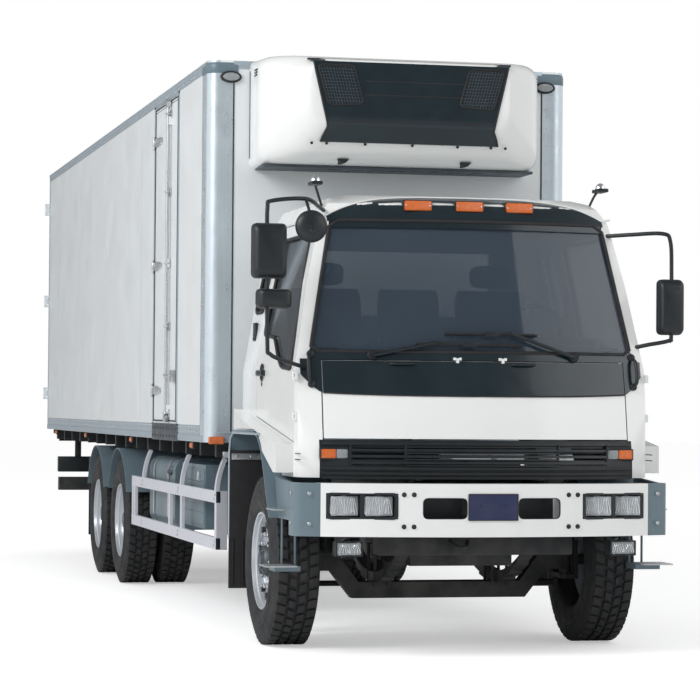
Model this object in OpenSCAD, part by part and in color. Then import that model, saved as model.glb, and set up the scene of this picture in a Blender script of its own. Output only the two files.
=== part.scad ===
// Refrigerated truck, 6x4, with a forward-control cab and an insulated box.
// +X is forward, +Y is the truck's left, +Z is up. Millimetres.
// The origin is on the ground under the middle of the truck.

/* [Chassis] */
// Front axle to first rear axle
wheelbase = 5820; // [5600:10:7000]
// Distance between the two rear axles
tandem = 1370; // [1300:10:1650]
// Bumper face to front axle
front_overhang = 1265; // [1240:5:1520]
// Front face of the box behind the front axle
box_setback = 1360; // [1320:10:1500]
// Outer width across the two frame rails
rail_span = 860; // [780:10:900]
// Height of a frame rail's section
rail_h = 260; // [220:5:300]
// Height of the frame's top above the ground
frame_top = 1050; // [1040:5:1150]

/* [Wheels] */
// Outer radius of a tyre
tyre_r = 520; // [470:5:530]
// Width of a tyre
tyre_w = 270; // [220:5:280]
// Radius of the rim's flange
rim_r = 290; // [270:5:310]
// Track of the steered wheels, centre to centre
front_track = 2060; // [2000:10:2080]
// Centre-to-centre distance of two twin tyres
twin_gap = 320; // [300:5:330]
// Track between the middles of the twin tyres
rear_track = 1850; // [1820:10:1860]

/* [Box] */
// Length of the insulated box
box_l = 9370; // [8000:10:11000]
// Width of the box
box_w = 2500; // [2450:10:2600]
// Height of the box from its floor frame to its roof
box_h = 2570; // [2100:10:2700]
// Thickness of the insulated walls
wall = 80; // [50:5:100]
// Width of the side door
side_door_w = 1060; // [800:10:1080]

/* [Cab] */
// Width of the cab
cab_w = 2180; // [2100:10:2220]
// Height of the cab's roof above the ground
cab_top = 2785; // [2700:5:2900]
// Thickness of the cab's double-skinned panels
skin = 40; // [30:1:50]
// Thickness of the window glass
glass_t = 6; // [4:1:8]

/* [Bumper] */
// Height of the bumper
bumper_h = 310; // [260:5:330]
// Width across the bumper's end caps
bumper_w = 2288; // [2200:4:2320]

/* [Hidden] */
// What is drawn: every node, or one by name.
// Running gap between a moving piece and its neighbour.
gap = 8;
// Reach of a cut past the face that it opens.
over = 20;
// Stations along X.
rear_hardware = 42;
overall = front_overhang + box_setback + box_l + rear_hardware;
x_bumper = overall / 2;
x_axle1 = x_bumper - front_overhang;
x_axle2 = x_axle1 - wheelbase;
x_axle3 = x_axle2 - tandem;
x_box = x_axle1 - box_setback;
x_rear = x_box - box_l;
x_cab = x_bumper - 2135;
// Heights of the box.
box_z = 1230;
box_top = box_z + box_h;
floor_z = box_z + 120;
// Smoothness of true circles.
$fn = 96;
// Frame: plate thickness and flange width of a rail, and the rails' faces.
rail_t = 9;
rail_flange = 80;
rail_y = rail_span / 2;
rail_in = rail_y - rail_flange;
frame_low = frame_top - rail_h;
// Axles and steering.
hub_z = tyre_r;
front_y = front_track / 2;
rear_y = rear_track / 2;
kingpin_y = front_y - tyre_w / 2 - 55;
kingpin_r = 20;
ear_r = 38;
eye_h = 170;
ear_h = 30;
spindle_r = 34;
steer_arm = 200;
ball_r = 11;
tie_rod_r = 18;
play = 0.4;
spring_y = rail_y - rail_flange / 2;
spring_w = 80;
axle_tube_r = 70;
banjo_back = 150;
banjo_front = 170;
// Box.
post = wall;
rear_post = 90;
rear_frame_d = wall + 20;
half_w = box_w / 2;
leaf_low = box_z + 120;
leaf_top = box_top - 100;
pin_off = 28;
x_door = x_box - 2350 + 50;

// A block between two corners.
module block(x0, x1, y0, y1, z0, z1) {
    translate([x0, y0, z0]) cube([x1 - x0, y1 - y0, z1 - z0]);
}
// An outline of (y, z) points, drawn out along X.
module along_x(x0, x1) {
    translate([x0, 0, 0]) rotate([90, 0, 90]) linear_extrude(x1 - x0) children();
}
// An outline of (x, z) points, drawn out along Y.
module along_y(y0, y1) {
    translate([0, y1, 0]) rotate([90, 0, 0]) linear_extrude(y1 - y0) children();
}
// A round bar along Y.
module bar_y(x, z, r, y0, y1) {
    translate([x, y1, z]) rotate([90, 0, 0]) cylinder(r = r, h = y1 - y0);
}
// A round bar along X.
module bar_x(y, z, r, x0, x1) {
    translate([x0, y, z]) rotate([0, 90, 0]) cylinder(r = r, h = x1 - x0);
}
// A round bar along Z.
module bar_z(x, y, r, z0, z1) {
    translate([x, y, z0]) cylinder(r = r, h = z1 - z0);
}
// A piece and its mirror image on the truck's other side.
module both_sides() {
    children();
    mirror([0, 1, 0]) children();
}
// The piece itself on the left (side = 1), or its mirror image on the right (side = -1).
module on_side(side) {
    if (side > 0) children();
    else mirror([0, 1, 0]) children();
}

// Chassis ----------------------------------------------------------------------------------

frame_front = x_bumper - 350;
frame_back = x_rear + 150;

// Two channel rails with their open sides facing each other, and the cab's tilt pins in front.
module frame_rails() {
    color("dimgray") both_sides() {
        difference() {
            block(frame_back, frame_front, rail_in, rail_y, frame_low, frame_top);
            block(frame_back - over, frame_front + over, rail_in - over, rail_y - rail_t,
                  frame_low + rail_t, frame_top - rail_t);
        }
        along_y(tilt_arm_out + gap, rail_y - 2) polygon([
            [frame_front - 140, frame_top - 60], [frame_front - 140, frame_top], [pivot_x - 10, pivot_z + 22],
            [pivot_x, pivot_z], [pivot_x - 10, pivot_z - 22], [frame_front, frame_top - 60]]);
        bar_y(pivot_x, pivot_z, boss_r, tilt_arm_out + gap, rail_y - 2);
        bar_y(pivot_x, pivot_z, pivot_r, rail_in + 5, rail_y - 2);
    }
}

cross_w = 70;
cross_h = 120;
cross_x = [x_bumper - 420, x_box - 800, x_box - 1700, x_box - 3100, x_axle2 + 620, (x_axle2 + x_axle3) / 2,
           x_axle3 - 700, x_axle3 - 1900, frame_back + 80];

// Cross members that tie the rails' webs together.
module cross_members() {
    color("dimgray") for (x = cross_x)
        block(x - cross_w / 2, x + cross_w / 2, -rail_y + rail_t, rail_y - rail_t,
              frame_low + rail_t + 40, frame_low + rail_t + 40 + cross_h);
}

bearer_pitch = 610;
bearer_w = 60;
bearer_h = 100;
bearer_count = floor((box_l - 200) / bearer_pitch);

// Middle of a cross bearer, counted from the front.
function bearer_x(i) = x_box - 120 - i * bearer_pitch;

// Long sleepers that lie on the rails.
module subframe() {
    color("dimgray") both_sides()
        block(x_rear + 100, x_box - 60, rail_in, rail_y, frame_top, box_z - bearer_h);
}
// Cross bearers on the sleepers, which carry the box floor.
module floor_bearers() {
    color("dimgray") for (i = [0:bearer_count])
        block(bearer_x(i) - bearer_w / 2, bearer_x(i) + bearer_w / 2, -half_w + 90, half_w - 90,
              box_z - bearer_h, box_z);
}

beam_half = 45;
beam_h = 100;
beam_low = hub_z - 235;

// The dropped beam, its kingpin eyes and the kingpins.
module front_axle() {
    beam_end = kingpin_y - 20;
    color("dimgray") {
        difference() {
            union() {
                along_x(x_axle1 - beam_half, x_axle1 + beam_half) polygon([
                    [-beam_end, hub_z - 60], [-700, hub_z - 60], [-560, beam_low], [560, beam_low],
                    [700, hub_z - 60], [beam_end, hub_z - 60], [beam_end, hub_z + 50],
                    [660, hub_z + 50], [520, beam_low + beam_h], [-520, beam_low + beam_h],
                    [-660, hub_z + 50], [-beam_end, hub_z + 50]]);
                for (s = [-1, 1])
                    bar_z(x_axle1, s * kingpin_y, ear_r, hub_z - eye_h / 2, hub_z + eye_h / 2);
            }
            for (s = [-1, 1])
                bar_z(x_axle1, s * kingpin_y, kingpin_r, hub_z - eye_h, hub_z + eye_h);
        }
        for (s = [-1, 1])
            bar_z(x_axle1, s * kingpin_y, kingpin_r, hub_z - eye_h / 2 - ear_h - 8,
                  hub_z + eye_h / 2 + ear_h + 8);
    }
}

// One leaf pack on its seat at (x, z), with its two hangers up to the rail.
module leaf_pack(x, z, half_l, rise) {
    leaves = 4;
    leaf_t = 16;
    steps = 8;
    along_y(spring_y - spring_w / 2, spring_y + spring_w / 2) for (i = [0:leaves - 1]) {
        reach = half_l * (1 - 0.2 * i);
        top = z + (leaves - i) * leaf_t;
        polygon(concat(
            [for (k = [-steps:steps]) [x + reach * k / steps, top + rise * pow(reach * k / steps / half_l, 2)]],
            [for (k = [steps:-1:-steps])
                [x + reach * k / steps, top - leaf_t - 0.5 + rise * pow(reach * k / steps / half_l, 2)]]));
    }
    for (s = [-1, 1])
        block(x + s * half_l - 40, x + s * half_l + 40, spring_y - spring_w / 2, spring_y + spring_w / 2,
              z + rise + 4 * leaf_t - 18, frame_low);
}

// Front leaf packs, and the long rear packs that rock between the tandem axles.
module leaf_springs() {
    color("dimgray") both_sides() {
        leaf_pack(x_axle1, beam_low + beam_h + 0.5, 700, 170);
        leaf_pack((x_axle2 + x_axle3) / 2, hub_z + axle_tube_r + 30, tandem / 2, 40);
    }
}

// Banjo axles with their stub ends, seen from below the frame.
module rear_axles() {
    color("dimgray") for (x = [x_axle2, x_axle3]) {
        bar_y(x, hub_z, axle_tube_r, -rear_y + 310, rear_y - 310);
        bar_y(x, hub_z, spindle_r + 10, -rear_y - 90, rear_y + 90);
        intersection() {
            translate([x, 0, hub_z]) sphere(r = 200);
            block(x - banjo_back, x + banjo_front, -200, 200, hub_z - 200, hub_z + 200);
        }
    }
}

// Shafts from the gearbox to the first axle, and from it to the second.
module propshaft() {
    color("gray") {
        bar_x(0, hub_z + 60, 48, x_axle2 + banjo_front, x_box - 700);
        bar_x(0, hub_z + 60, 42, x_axle3 + banjo_front, x_axle2 - banjo_back);
    }
}

engine_w = 2 * rail_in - 60;

// One plain block for the engine and gearbox, slung between the rails.
module engine_block() {
    color("slategray") {
        block(x_axle1 - 620, x_axle1 + 560, -engine_w / 2, engine_w / 2, beam_low + beam_h + 130, frame_top + 90);
        block(x_box - 700, x_axle1 - 619, -200, 200, hub_z - 40, frame_top - 80);
        block(x_axle1 + 560, x_axle1 + 640, -rail_in, rail_in, frame_low - 60, frame_top + 110);
    }
}

tank_y = half_w - 130;

// Round-edged tank hung from the right-hand rail by two brackets.
module fuel_tank() {
    tank_r = 90;
    color("slategray") mirror([0, 1, 0]) {
        along_x(x_box - 3300, x_box - 2050) hull() for (y = [rail_y + 130, tank_y - tank_r], z = [640, 990])
            translate([y + (y < tank_y - tank_r ? tank_r : 0), z]) circle(r = tank_r);
        for (x = [x_box - 3050, x_box - 2350])
            block(x - 30, x + 30, rail_y, rail_y + 131, frame_low + 20, frame_top - 20);
    }
}

// Tool box on the right, battery box and two air tanks on the left.
module side_boxes() {
    color("slategray") {
        mirror([0, 1, 0]) {
            block(x_box - 1850, x_box - 850, rail_y + 120, tank_y - 20, 610, 1060);
            block(x_box - 1700, x_box - 1000, rail_y, rail_y + 121, frame_low + 20, frame_top - 20);
        }
        block(x_box - 1500, x_box - 750, rail_y + 100, tank_y - 20, 640, 1060);
        block(x_box - 1400, x_box - 850, rail_y, rail_y + 101, frame_low + 20, frame_top - 20);
        for (z = [740, 940])
            bar_x(rail_y + 250, z, 90, x_box - 3000, x_box - 1900);
        block(x_box - 2700, x_box - 2200, rail_y, rail_y + 165, 700, frame_top - 20);
    }
}

// Bumper and wings ---------------------------------------------------------------------------

bumper_low = 723;
bumper_top = bumper_low + bumper_h;
bumper_d = 120;
bumper_t = 25;
bumper_r = 3500;
cap_y = 1000;
lamp_y = 765;
lamp_w = 410;
lamp_h = 150;
lamp_z = bumper_low + 178;
vent_y0 = 150;
vent_y1 = 422;
vent_z0 = bumper_low + 100;
vent_z1 = bumper_top - 78;
// How far the bowed bumper falls back at a distance y from the middle.
function bow(y) = bumper_r - sqrt(bumper_r * bumper_r - y * y);

// A bowed slab between the depths t0 and t1 behind the bumper's face.
module bowed(t0, t1, y0, y1, z0, z1) {
    intersection() {
        difference() {
            bar_z(x_bumper - bumper_r, 0, bumper_r - t0, z0, z1);
            bar_z(x_bumper - bumper_r, 0, bumper_r - t1, z0 - over, z1 + over);
        }
        block(x_bumper - 500, x_bumper, y0, y1, z0 - over, z1 + over);
    }
}

// Hollow white bumper with the lamp recesses and the two air slots cut through.
module bumper() {
    color("white") {
        difference() {
            bowed(0, bumper_d, -cap_y, cap_y, bumper_low, bumper_top);
            bowed(bumper_t, bumper_d + bumper_t, -cap_y + bumper_t, cap_y - bumper_t,
                  bumper_low + bumper_t, bumper_top - bumper_t);
            both_sides() {
                block(x_bumper - 500, x_bumper + over, lamp_y - lamp_w / 2, lamp_y + lamp_w / 2,
                      lamp_z - lamp_h / 2, lamp_z + lamp_h / 2);
                block(x_bumper - 500, x_bumper + over, vent_y0, vent_y1, vent_z0, vent_z1);
            }
        }
        both_sides() block(frame_front - 250, x_bumper - bumper_t - 20, rail_y, rail_y + 70,
                           bumper_low + 37, bumper_top - 33);
    }
}

cap_out = bumper_w / 2;
cap_front = x_bumper - bow(cap_y);
cap_l = 215;

// Steel corner pieces that wrap round the bumper's ends.
module bumper_caps() {
    cap_r = 60;
    color("slategray") both_sides() translate([0, 0, bumper_low]) linear_extrude(bumper_h) difference() {
        hull() {
            translate([cap_front - bumper_d + 20, cap_y]) square([bumper_d - 24, 1]);
            translate([cap_front - 100, cap_out - cap_r]) circle(r = cap_r);
            translate([cap_front - cap_l, cap_out - 30]) square([1, 30]);
        }
        hull() {
            translate([cap_front - bumper_d, cap_y - 1]) square([bumper_d - 34, 1]);
            translate([cap_front - 110, cap_out - cap_r - 20]) circle(r = cap_r - 20);
            translate([cap_front - cap_l - 1, cap_out - 100]) square([1, 85]);
        }
    }
}

// Two headlamp blocks in their recesses, and two fog lamps under the bumper.
module front_lamps() {
    lamp_gap = 0.3;
    fog_z = bumper_low - 72;
    color("lightblue") both_sides() {
        bowed(14, 90, lamp_y - lamp_w / 2 + lamp_gap, lamp_y + lamp_w / 2 - lamp_gap,
              lamp_z - lamp_h / 2 + lamp_gap, lamp_z + lamp_h / 2 - lamp_gap);
        block(x_bumper - 215, x_bumper - 110, 755, 915, fog_z - 45, fog_z + 45);
        block(x_bumper - 190, x_bumper - 140, 825, 845, fog_z + 45, bumper_low);
    }
}

arch_top = tyre_r * 2 + 280;
fender_in = front_y - tyre_w / 2 - 110;
fender_out = 1200;
fender_t = 12;
leg_x = x_axle1 + 575;
leg_low = 810;

// The fender's outer line, drawn in by t all round.
module fender_line(t) {
    polygon([[x_box + 200 - over, leg_low - over], [x_box + 200 - over, arch_top - 20 - t],
             [x_axle1 - 300, arch_top - t], [x_axle1 + 60, arch_top - t], [x_axle1 + 190, arch_top - 25 - t],
             [x_axle1 + 290, arch_top - 90 - t], [x_axle1 + 370 - t, arch_top - 190],
             [leg_x + 25 - t, leg_low - over]]);
}

// Curved wings over the steered wheels, with the step box and the step in front of each leg.
module front_fenders() {
    box_front = cap_front - cap_l - 4;
    color("slategray") both_sides() {
        difference() {
            along_y(fender_in, fender_out) fender_line(0);
            along_y(fender_in - over, fender_out + over) fender_line(fender_t);
            block(x_box, x_box + 200, 0, 2000, 0, 2000);
            block(x_box, x_bumper, 0, 2000, 0, leg_low);
        }
        along_y(cap_out - 20, cap_out) polygon([
            [leg_x, leg_low], [box_front, leg_low], [box_front, bumper_top], [x_axle1 + 480, bumper_top + 25]]);
        block(leg_x + 24, box_front, fender_in + 60, cap_out, leg_low, leg_low + fender_t);
        block(x_axle1 - 740, x_axle1 - 740 + fender_t, fender_in, fender_out, 300, arch_top - 18);
        for (y = [cap_out - 90, cap_out - 10])
            block(leg_x + 50, leg_x + 70, y - 8, y, 530, leg_low);
        block(leg_x + 30, leg_x + 200, cap_out - 100, cap_out + 56, 500, 530);
        block(x_axle1 - 700, x_axle1 - 660, rail_y, fender_in + 30, 1000, 1040);
        block(x_axle1 - 728, x_axle1 - 660, fender_in, fender_in + 60, 960, 1060);
        block(leg_x + 24, leg_x + 64, rail_y, fender_in + 90, leg_low + 12, leg_low + 52);
    }
}

guard_r = tyre_r + 80;

// Quarter-round guards in front of, over and behind the twin wheels, on tubes from the frame.
module rear_mudguards() {
    guard_in = rear_y - twin_gap / 2 - tyre_w / 2;
    guard_out = rear_y + twin_gap / 2 + tyre_w / 2;
    color("slategray") both_sides() for (x = [x_axle2, x_axle3]) {
        along_y(guard_in, guard_out) intersection() {
            difference() {
                translate([x, hub_z]) circle(r = guard_r);
                translate([x, hub_z]) circle(r = guard_r - 8);
            }
            translate([x - guard_r - 1, hub_z + 250]) square([2 * guard_r + 2, guard_r]);
        }
        for (s = [-1, 1])
            bar_y(x + s * 470, hub_z + 345, 18, rail_y, guard_out - 60);
    }
}

guard_front = x_box + 150;
guard_back = x_box - 3750;
guard_face = half_w - 50;

// Aluminium side guard: two rails, four posts and three curved stays up to the box floor.
module side_guard() {
    stay_r = 560;
    stay_w = 60;
    stay_z = 880;
    stay_angle = asin((box_z - bearer_h - stay_z) / (stay_r + 25));
    stay_y = guard_face - 25 - stay_r + (stay_r + 25) * cos(stay_angle);
    color("silver") {
        for (z = [520, 830])
            block(guard_back, guard_front, guard_face - 25, guard_face, z, z + 80);
        for (x = [guard_back + 1, guard_back + 110, x_box - 1880, x_box - 1350])
            block(x, x + 80, guard_face - 24, guard_face - 2, 600, 830);
        block(guard_front - 25, guard_front - 1, guard_face - 75, guard_face - 24, 520, 910);
        block(guard_front - 80, guard_front - 1, guard_face - 24, guard_face - 2, 600, 830);
        for (x = [bearer_x(5), bearer_x(2), x_box + 90])
            translate([x - stay_w / 2, guard_face - 25 - stay_r, stay_z]) rotate([90, 0, 90])
                rotate_extrude(angle = stay_angle) translate([stay_r, 0]) square([25, stay_w]);
        block(x_box + 90 - stay_w / 2, x_box + 90 + stay_w / 2, rail_in, stay_y, box_z - bearer_h, box_z - 60);
        block(x_box + 90 - stay_w / 2, x_box + 90 + stay_w / 2, rail_in, rail_y, frame_top, box_z - bearer_h);
    }
}
module side_guard_right() on_side(-1) side_guard();
module side_guard_left() on_side(1) side_guard();

plate_hole_r = 5.5;
plate_y = 150;
plate_z = 30;

// Bar across the back under the box, on two arms from the frame.
module underrun_bar() {
    color("dimgray") {
        difference() {
            block(x_rear + 130, x_rear + 250, -1150, 1150, 620, 750);
            for (y = [-plate_y, plate_y], z = [685 - plate_z, 685 + plate_z])
                bar_x(y, z, plate_hole_r, x_rear, x_rear + 400);
        }
        both_sides() {
            block(x_rear + 150, x_rear + 230, rail_in - 20, rail_y, 750, frame_low);
            block(x_rear + 8, x_rear + 68, 880, 1130, box_z - 120, box_z);
        }
    }
}

// Insulated box ------------------------------------------------------------------------------

wall_back = x_rear + rear_frame_d;
door_low = box_z + 130;
door_top = box_top - 120;

// Insulated floor between the walls.
module box_floor() {
    color("silver")
        block(wall_back, x_box - wall, -half_w + wall, half_w - wall, box_z, floor_z);
}
// One side wall, the same on both sides but for the door.
module box_wall() {
    block(wall_back, x_box - post, half_w - wall, half_w, box_z, box_top);
}
module box_wall_right() {
    color("white") difference() {
        on_side(-1) box_wall();
        block(x_door, x_door + side_door_w, -half_w - over, -half_w + wall + over, door_low, door_top);
    }
}
module box_wall_left() {
    color("white") on_side(1) box_wall();
}
module box_front_wall() {
    color("white") block(x_box - wall, x_box, -half_w + post, half_w - post, box_z, box_top);
}
module box_roof() {
    color("white")
        block(wall_back, x_box - wall, -half_w + wall, half_w - wall, box_top - wall, box_top);
}
// Rounded posts at the two front corners.
module corner_posts() {
    post_r = post;
    color("silver") both_sides() translate([0, 0, box_z]) linear_extrude(box_h) intersection() {
        translate([x_box - post, half_w - post]) square(post);
        translate([x_box - post_r, half_w - post_r]) circle(r = post_r);
    }
}

hinge_z = [box_z + 360, box_z + 1290, box_z + 2220];
knuckle_r = 14;
pin_r = 6;
strap_t = 10;
strap_h = 60;

// Steel portal round the rear doors, with the door pins in their corner brackets.
module rear_frame() {
    color("silver") {
        difference() {
            block(x_rear + 6, wall_back, -half_w, half_w, box_z, box_top);
            block(x_rear - over, wall_back + over, -half_w + rear_post, half_w - rear_post, leaf_low, leaf_top);
        }
        both_sides() for (z = hinge_z) {
            bar_z(x_rear - pin_off, half_w + pin_off, pin_r, z - strap_h / 2 - 30, z + strap_h / 2 + 30);
            for (b = [z - strap_h / 2 - 28, z + strap_h / 2 + 8]) {
                bar_z(x_rear - pin_off, half_w + pin_off, knuckle_r, b, b + 20);
                translate([0, 0, b]) linear_extrude(20) polygon([
                    [x_rear - pin_off, half_w + pin_off + knuckle_r], [x_rear - pin_off - knuckle_r, half_w + pin_off],
                    [x_rear + 6, half_w - 20], [x_rear + 60, half_w - 20], [x_rear + 60, half_w]]);
            }
        }
    }
}

rod_r = 13;

// A rear leaf with its three straps and two lock rods, built on the left side.
module rear_leaf() {
    leaf_out = half_w - rear_post - gap;
    difference() {
        union() {
            block(x_rear, x_rear + wall, gap, leaf_out, leaf_low + gap, leaf_top - gap);
            for (z = hinge_z) {
                block(x_rear - strap_t, x_rear, leaf_out - 220, half_w + pin_off - 10, z - strap_h / 2, z + strap_h / 2);
                block(x_rear - pin_off, x_rear, half_w + 8, half_w + pin_off, z - strap_h / 2, z + strap_h / 2);
                bar_z(x_rear - pin_off, half_w + pin_off, knuckle_r, z - strap_h / 2, z + strap_h / 2);
            }
        }
        for (z = hinge_z)
            bar_z(x_rear - pin_off, half_w + pin_off, pin_r + play, z - strap_h, z + strap_h);
    }
    for (y = [180, leaf_out - 330])
        for (z = [leaf_low + 60, box_z + 1250, leaf_top - 160])
            block(x_rear - 24, x_rear, y - 25, y + 25, z, z + 60);
    for (y = [180, leaf_out - 330])
        bar_z(x_rear - 25, y, rod_r, leaf_low + 25, leaf_top - 25);
}
module rear_door_right() {
    color("white") on_side(-1) rear_leaf();
}
module rear_door_left() {
    color("white") on_side(1) rear_leaf();
}

side_pin_y = half_w + 15;

// Side door, hinged at its rear edge, with straps, a threshold plate and a lock rod.
module side_door() {
    rod_x = x_door + side_door_w - 330;
    color("white") mirror([0, 1, 0]) {
        block(x_door + gap, x_door + side_door_w - gap, half_w - wall, half_w, door_low + gap, door_top - gap);
        for (z = hinge_z) {
            block(x_door, x_door + 330, half_w, half_w + 10, z - 25, z + 25);
            bar_z(x_door, side_pin_y, 9, z - 25, z + 25);
        }
        for (z = [door_low + 60, box_z + 1250, door_top - 160])
            block(rod_x - 25, rod_x + 25, half_w, half_w + 24, z, z + 60);
        bar_z(rod_x, half_w + 25, rod_r, door_low + 25, door_top - 25);
    }
}

// Cooling unit --------------------------------------------------------------------------------

cooler_d = 620;
cooler_half = 970;
cooler_low = box_z + 1840;

// Tapered housing on the box's front wall, above the cab.
module cooling_unit() {
    nose_half = 655;
    color("white") intersection() {
        along_y(-cooler_half, cooler_half) polygon([
            [x_box, cooler_low], [x_box + cooler_d * 0.75, cooler_low + 30], [x_box + cooler_d, cooler_low + 260],
            [x_box + cooler_d - 20, box_top - 50], [x_box + cooler_d - 130, box_top], [x_box, box_top]]);
        translate([0, 0, cooler_low]) linear_extrude(box_top - cooler_low) polygon([
            [x_box, -cooler_half], [x_box + cooler_d * 0.45, -cooler_half], [x_box + cooler_d, -nose_half],
            [x_box + cooler_d, nose_half], [x_box + cooler_d * 0.45, cooler_half], [x_box, cooler_half]]);
    }
}

// Cab ------------------------------------------------------------------------------------------

cab_half = cab_w / 2;
cab_low = 1060;
cab_floor_z = arch_top + 20;
x_front = x_bumper - 195;
cab_bow = 3500;
x_hinge = x_box + 2160;
pivot_x = x_bumper - 290;
pivot_z = cab_low + 10;
pivot_r = 15;
boss_r = 24;
tilt_arm_in = rail_in + 10;
tilt_arm_out = rail_in + 45;
x_quarter = x_box + 940;
eaves = cab_top - 145;
lid_half = 937;
lid_low = 1291;
lid_top = 1752;
grille_half = 966;
grille_top = lid_low - gap;

// The cab's side outline, drawn in by t at the back, the top and the front.
function cab_outline(t) = [
    [x_cab - 1000, cab_low - over], [x_front - t, cab_low - over], [x_front - t, cab_low + 60],
    [x_front - 35 - t, 1290], [x_front - 75 - t, 1560], [x_front - 130 - t, 1790],
    [x_front - 325 - t, cab_top - 185], [x_front - 400 - t, cab_top - 80 - t / 2],
    [x_front - 560 - t, cab_top - 20 - t], [x_front - 800, cab_top - t], [x_cab - 1000, cab_top - t]];

// The cab's outer body when t is 0, or its inner space when t is the skin.
module cab_body(t) {
    intersection() {
        hull() translate([x_front - cab_bow, 0, 0]) rotate([0, 0, -45]) rotate_extrude(angle = 90)
            polygon([for (p = cab_outline(t)) [p[0] - x_front + cab_bow, p[1]]]);
        along_x(x_cab + t, x_front + 1) polygon([
            [-cab_half + t, cab_low - 2 * over], [cab_half - t, cab_low - 2 * over], [cab_half - t, 1700],
            [cab_half - 90 - t, 2220], [cab_half - 185 - t, eaves - 20], [cab_half - 260 - t, cab_top - 45 - t / 2],
            [cab_half - 450 - t, cab_top - t], [-cab_half + 450 + t, cab_top - t],
            [-cab_half + 260 + t, cab_top - 45 - t / 2], [-cab_half + 185 + t, eaves - 20],
            [-cab_half + 90 + t, 2220], [-cab_half + t, 1700]]);
        translate([0, 0, cab_low]) linear_extrude(cab_top) polygon([
            [x_cab, -cab_half + t], [x_front - 300, -cab_half + t], [x_front - 235, -cab_half + 10 + t],
            [x_front - 185, -cab_half + 45 + t], [x_front - 145, -cab_half + 110 + t], [x_front - 60, 0.55 - cab_half + 430],
            [x_front + 1, 0.5 - cab_half + 500], [x_front + 1, cab_half - 500], [x_front - 60, cab_half - 430],
            [x_front - 145, cab_half - 110 - t], [x_front - 185, cab_half - 45 - t],
            [x_front - 235, cab_half - 10 - t], [x_front - 300, cab_half - t], [x_cab, cab_half - t]]);
    }
}
// The cab's walls, clear of the wings.
module cab_shell() {
    difference() {
        cab_body(0);
        cab_body(skin);
        along_y(-cab_half - over, cab_half + over) fender_line(-15);
    }
}

// Hinges that stand off a cab panel: a plate and two outer barrels on one pin, then the leaf's barrel.
barrel_r = 8;
barrel_pin_r = 4;
hinge_off = 12;
door_hinge_z = [1420, 1660];
lid_hinge_y = 140;
x_lid = x_front - 110;
z_lid = 1762;

module door_hinge_fixed(z) {
    translate([0, 0, z - 24]) linear_extrude(48) polygon([
        [x_hinge - 18, cab_half - 12 / 6.5], [x_hinge + 30, cab_half - 60 / 6.5],
        [x_hinge + 30, cab_half + 4], [x_hinge - 18, cab_half + 4]]);
    for (s = [z - 24, z + 9])
        bar_z(x_hinge, cab_half + hinge_off, barrel_r, s, s + 15);
    for (s = [z - 24, z + 9])
        block(x_hinge, x_hinge + 12, cab_half + 3, cab_half + hinge_off, s, s + 15);
    bar_z(x_hinge, cab_half + hinge_off, barrel_pin_r, z - 24, z + 24);
}
module door_hinge_leaf(z) {
    difference() {
        union() {
            block(x_hinge - 110, x_hinge - 62, cab_half - 1, cab_half + 16, z - 8, z + 8);
            block(x_hinge - 63, x_hinge, cab_half + 8, cab_half + 16, z - 8, z + 8);
            bar_z(x_hinge, cab_half + hinge_off, barrel_r, z - 8, z + 8);
        }
        bar_z(x_hinge, cab_half + hinge_off, barrel_pin_r + play, z - 20, z + 20);
    }
}

// A side door's outline, drawn in by t.
module door_outline(t) {
    polygon([[x_quarter + t, 1410 + t], [x_hinge - 30 - t, 1262 + t], [x_hinge - 60 - t, 1750],
             [x_quarter + 985 - t, eaves - 20 - t], [x_quarter + t, eaves - 20 - t]]);
}
module door_window() {
    polygon([[x_quarter + 90, 1925], [x_quarter + 430, 1905], [x_quarter + 640, 1780], [x_quarter + 800, 1715],
             [x_hinge - 115, 1700], [x_quarter + 895, eaves - 115], [x_quarter + 90, eaves - 115]]);
}
// The windscreen's outline seen from the front, drawn in by t.
module windscreen_outline(t) {
    polygon([[-cab_half + 88 + t, 1805 + t], [cab_half - 88 - t, 1805 + t], [cab_half - 235 - t, cab_top - 185 - t],
             [-cab_half + 235 + t, cab_top - 185 - t]]);
}
// Everything ahead of the line down the door's front edge.
module ahead_of_doors() {
    along_y(-2000, 2000) polygon([
        [x_hinge - 30, 1262], [x_hinge - 30, 0], [x_front + 200, 0], [x_front + 200, 4000], [x_quarter + 985, 4000],
        [x_quarter + 985, eaves - 20], [x_hinge - 60, 1750]]);
}

// Floor with the footwell's front board and the two tilt arms.
module cab_floor() {
    floor_t = 40;
    board_x = x_hinge - 60;
    color("gray") difference() {
        union() {
            block(x_cab + skin, board_x, -cab_half + skin, cab_half - skin, cab_floor_z, cab_floor_z + floor_t);
            block(board_x - 20, board_x, -cab_half + 150, cab_half - 150, cab_floor_z, 1700);
            both_sides() {
                along_y(tilt_arm_in, tilt_arm_out) polygon([
                    [board_x - 320, cab_floor_z], [board_x, cab_floor_z], [board_x, cab_floor_z - 60],
                    [pivot_x + 20, pivot_z + 10], [pivot_x - 20, pivot_z - 10], [pivot_x - 60, pivot_z + 60]]);
                bar_y(pivot_x, pivot_z, boss_r, tilt_arm_in, tilt_arm_out);
            }
        }
        bar_y(pivot_x, pivot_z, pivot_r + play, -cab_half, cab_half);
    }
}
// Back wall with the rear window.
module cab_back() {
    color("white") difference() {
        intersection() {
            cab_shell();
            block(x_cab - 1, x_cab + skin, -cab_half, cab_half, cab_low, eaves);
        }
        block(x_cab - over, x_cab + skin + over, -560, 560, 2080, 2500);
    }
}
module cab_roof() {
    color("white") difference() {
        intersection() {
            cab_shell();
            block(x_cab - 1, x_front, -cab_half, cab_half, eaves, cab_top + 1);
        }
        ahead_of_doors();
    }
}
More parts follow.
